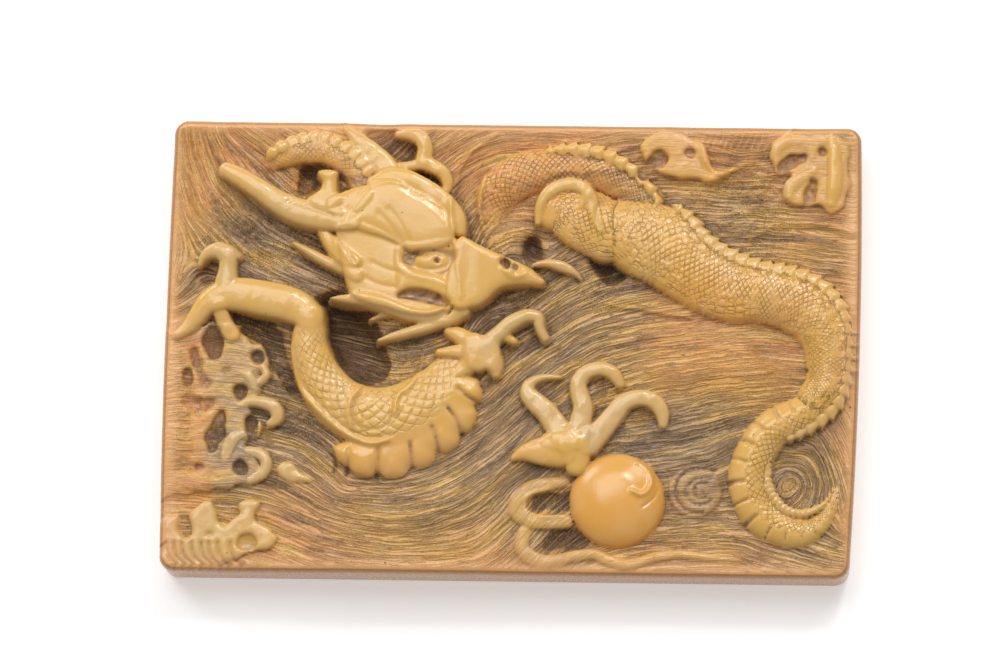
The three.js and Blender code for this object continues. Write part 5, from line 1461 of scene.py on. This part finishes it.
def ivoryMaterial():
    material = bpy.data.materials.new("carvedIvory")
    material.use_nodes = True
    shading = Shading(material.node_tree)
    add, calc, times, remap, blend = shading.add, shading.calc, shading.times, shading.remap, shading.blend
    noise, drawnNoise = shading.noise, shading.drawnNoise
    lines, lineStrength, rough = shading.attribute("water")
    scaleA, scaleB, scaleShows = shading.attribute("scaleNet")
    stainAndShade, nearRim, deep = shading.attribute("finish")
    tone, ground = shading.attribute("tint")[:2]
    onSide = remap(calc("ABSOLUTE", calc("SUBTRACT", tone, 2.0)), 0.6, 0.0)  # tone is 2 on the side walls
    fine, broad = noise(ivory["fineSize"]), noise(ivory["broadSize"], 2.0)
    grit = noise(ivory["gritSize"], 2.0)
    streak = drawnNoise(lines, 0.5, 150.0, 3.0)
    strand = calc("ABSOLUTE", calc("SUBTRACT", drawnNoise(lines, 1.5, 260.0, 2.0), 0.5))
    hair = drawnNoise(lines, 2.6, 240.0, 2.0)

    # Cut lines: dark where a line number or a scale number is whole, and along broken strands between
    wander = calc("MULTIPLY_ADD", noise(1.1), 0.5, -0.25)
    toLine = calc("PINGPONG", calc("ADD", lines, wander), 0.5)
    lineCut = times(remap(toLine, 0.2, 0.03), lineStrength, clamp=True)
    strandCut = times(remap(strand, 0.035, 0.004), ground, clamp=True)
    hairCut = times(remap(hair, 0.52, 0.38), ground, clamp=True)
    waterCut = calc("MAXIMUM", times(lineCut, 0.55), times(strandCut, 0.7))
    waterCut = calc("MAXIMUM", waterCut, hairCut)
    waterCut = times(waterCut, remap(tone, 0.0, 1.0, 1.0, 0.6))
    waterCut = times(waterCut, remap(nearRim, 0.2, 1.0, 1.0, 0.4))
    toScale = calc("MINIMUM", calc("PINGPONG", scaleA, 0.5), calc("PINGPONG", scaleB, 0.5))
    scaleCut = times(remap(toScale, 0.15, 0.03), scaleShows, clamp=True)
    scaleCut = times(scaleCut, remap(noise(0.9), 0.3, 0.62))
    # Pale crests on the strands' ridges, a painted highlight
    crest = times(remap(hair, 0.56, 0.7), ground, clamp=True)

    # Clean ivory, warmer or greener by part
    face = blend(remap(tone, 0.0, 1.0), ivory["clean"], ivory["warm"])
    face = blend(remap(tone, 0.0, -1.0), face, ivory["olive"])
    face = blend(times(remap(broad, 0.5, 0.68), ivory["warmPatches"]), face, ivory["rimTone"])
    paler = times(remap(noise(ivory["paleSize"], 2.0), 0.46, 0.62), ivory["palePatches"])
    face = blend(paler, face, ivory["pale"])

    # The water's ground, streaked along its lines
    wet = blend(remap(tone, 0.0, 1.0), ivory["ground"], ivory["orange"])
    wet = blend(remap(tone, 0.0, -1.0), wet, ivory["grey"])
    wet = blend(times(remap(streak, 0.5, 0.64), ivory["lightStreaks"]), wet, ivory["clean"])
    wet = blend(times(remap(streak, 0.5, 0.34), ivory["darkStreaks"]), wet, ivory["dark"])

    # Browned by stain and painted shade, with painted shade nearly black in the deepest hollows, and warm
    # again at the rim as worn ivory and painted highlight
    mottle = calc("MULTIPLY_ADD", broad, 0.5, calc("MULTIPLY_ADD", fine, 0.8, -0.65))
    stainedAndShaded = calc("MULTIPLY_ADD", times(stainAndShade, 1.6, clamp=True), mottle, stainAndShade)
    tones = blend(remap(stainedAndShaded, 0.05, 0.5), face, wet)
    deepTone = blend(remap(calc("SUBTRACT", tone, ground), -0.8, 0.2), ivory["dark"], ivory["rust"])
    tones = blend(remap(stainedAndShaded, 0.5, 1.0, 0.0, 0.9), tones, deepTone)
    # The deepest recesses go nearly black: painted shade
    tones = blend(times(remap(deep, 0.8, 1.1), ivory["deepest"]), tones, ivory["sootAndShade"])
    # A warm band at the rim, as worn ivory and painted highlight
    tones = blend(times(remap(nearRim, 0.1, 0.9), ivory["rimCover"]), tones, ivory["rimTone"])
    # Painted shade: the side walls take a darker orange-brown
    tones = blend(onSide, tones, ivory["side"])

    # Dark cuts, pale crests between them as painted highlight, stipple and pores
    cut = calc("MAXIMUM", times(waterCut, ivory["waterCuts"]), times(scaleCut, ivory["scaleCuts"]))
    tones = blend(cut, tones, blend(ground, ivory["rust"], ivory["dark"]))
    tones = blend(times(crest, ivory["crests"]), tones, ivory["pale"])
    speck = times(remap(grit, 0.52, 0.68), calc("MULTIPLY_ADD", rough, 0.5, times(ground, 0.35)))
    tones = blend(speck, tones, ivory["dark"])
    fleck = times(remap(grit, 0.46, 0.3), calc("MULTIPLY_ADD", rough, 0.35, times(ground, 0.3)))
    tones = blend(fleck, tones, ivory["clean"])
    pores = times(remap(noise(ivory["poreSize"], 1.0), 0.78, 0.82), ivory["pores"])
    tones = blend(pores, tones, ivory["sootAndShade"])

    dull = calc("MAXIMUM", times(ground, 0.85), times(stainedAndShaded, 0.8, clamp=True))
    roughness = calc("MULTIPLY_ADD", dull, ivory["dull"] - ivory["polished"], ivory["polished"])
    roughness = calc("ADD", roughness, remap(stainedAndShaded, 0.7, 1.0, 0.0, 0.3))
    roughness = calc("ADD", roughness, calc("MULTIPLY_ADD", fine, 0.24, -0.12), clamp=True)

    fineRelief = calc("MULTIPLY_ADD", ground, ivory["fineGround"], ivory["fineFace"])
    gritRelief = calc("MULTIPLY_ADD", rough, ivory["gritGround"], ivory["gritFace"])
    relief = calc("MULTIPLY_ADD", waterCut, -ivory["cutDepth"], times(scaleCut, -ivory["scaleDepth"]))
    relief = calc("MULTIPLY_ADD", fine, fineRelief, relief)
    relief = calc("MULTIPLY_ADD", grit, gritRelief, relief)
    bump = add("ShaderNodeBump")
    bump.inputs["Strength"].default_value = 1.0
    bump.inputs["Distance"].default_value = mm
    shading.join(relief, bump.inputs["Height"])

    surface = add("ShaderNodeBsdfPrincipled")
    shading.join(tones, surface.inputs["Base Color"])
    shading.join(roughness, surface.inputs["Roughness"])
    shading.join(bump.outputs[0], surface.inputs["Normal"])
    surface.inputs["IOR"].default_value = 1.54
    surface.inputs["Subsurface Weight"].default_value = ivory["glow"]
    surface.inputs["Subsurface Radius"].default_value = (1.0, 0.55, 0.25)
    surface.inputs["Subsurface Scale"].default_value = ivory["glowReach"]
    shading.join(surface.outputs[0], add("ShaderNodeOutputMaterial").inputs["Surface"])
    return material

plaque.data.materials.append(ivoryMaterial())
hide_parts("plaque")
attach(plaque, "root")
print("ivory finish made")

# The pale table and the lamps over it, in metres and watts, all aimed at the plaque
studio = {
    "floorHalf": 1.6, "floorTone": 0.96, "floorGlow": 0.36, "sky": 0.3,
    "lamps": {
        "upperLeft": {"at": (-0.46, 0.50, 0.34), "size": 0.3, "power": 1.3},
        "upperRight": {"at": (0.36, 0.62, 0.56), "size": 0.3, "power": 1.4},
        "overhead": {"at": (-0.16, 0.36, 0.92), "size": 0.5, "power": 3.1},
        "spark": {"at": (0.18, 0.52, 0.80), "size": 0.11, "power": 1.5},
    },
}

def buildTable():
    bm = bmesh.new()
    bmesh.ops.create_grid(bm, x_segments=1, y_segments=1, size=studio["floorHalf"])
    mesh = bpy.data.meshes.new("paleTable")
    bm.to_mesh(mesh)
    bm.free()
    table = bpy.data.objects.new("paleTable", mesh)
    bpy.context.scene.collection.objects.link(table)
    material = bpy.data.materials.new("paleTable")
    material.use_nodes = True
    surface = material.node_tree.nodes["Principled BSDF"]
    surface.inputs["Base Color"].default_value = (studio["floorTone"],) * 3 + (1.0,)
    surface.inputs["Roughness"].default_value = 0.7
    surface.inputs["Emission Color"].default_value = (1.0, 1.0, 1.0, 1.0)
    surface.inputs["Emission Strength"].default_value = studio["floorGlow"]
    mesh.materials.append(material)

def buildLights():
    for name, lamp in studio["lamps"].items():
        light = bpy.data.lights.new(name, "AREA")
        light.size = lamp["size"]
        light.energy = lamp["power"]
        holder = bpy.data.objects.new(name, light)
        holder.location = lamp["at"]
        holder.rotation_euler = (-Vector(lamp["at"])).to_track_quat("-Z", "Y").to_euler()
        bpy.context.scene.collection.objects.link(holder)
    world = bpy.data.worlds.new("studio")
    bpy.context.scene.world = world
    world.use_nodes = True
    sky = world.node_tree.nodes["Background"]
    sky.inputs["Color"].default_value = (1.0, 1.0, 1.0, 1.0)
    sky.inputs["Strength"].default_value = studio["sky"]
    bpy.context.scene.view_settings.view_transform = "Standard"

# The camera stands where the photograph was taken from
def buildCamera():
    camera = bpy.data.cameras.new("camera")
    camera.sensor_width = 36.0
    camera.lens = sheet["focal"] / sheet["picture"][0] * camera.sensor_width
    camera.clip_start, camera.clip_end = 0.01, 10.0
    holder = bpy.data.objects.new("camera", camera)
    turn = np.eye(4)
    turn[:3, 0], turn[:3, 1], turn[:3, 2], turn[:3, 3] = sheetRight, sheetUp, toEye, eye * mm
    holder.matrix_world = Matrix(turn.tolist())
    bpy.context.scene.collection.objects.link(holder)
    bpy.context.scene.camera = holder

buildTable()
buildLights()
buildCamera()
print("studio and camera set")
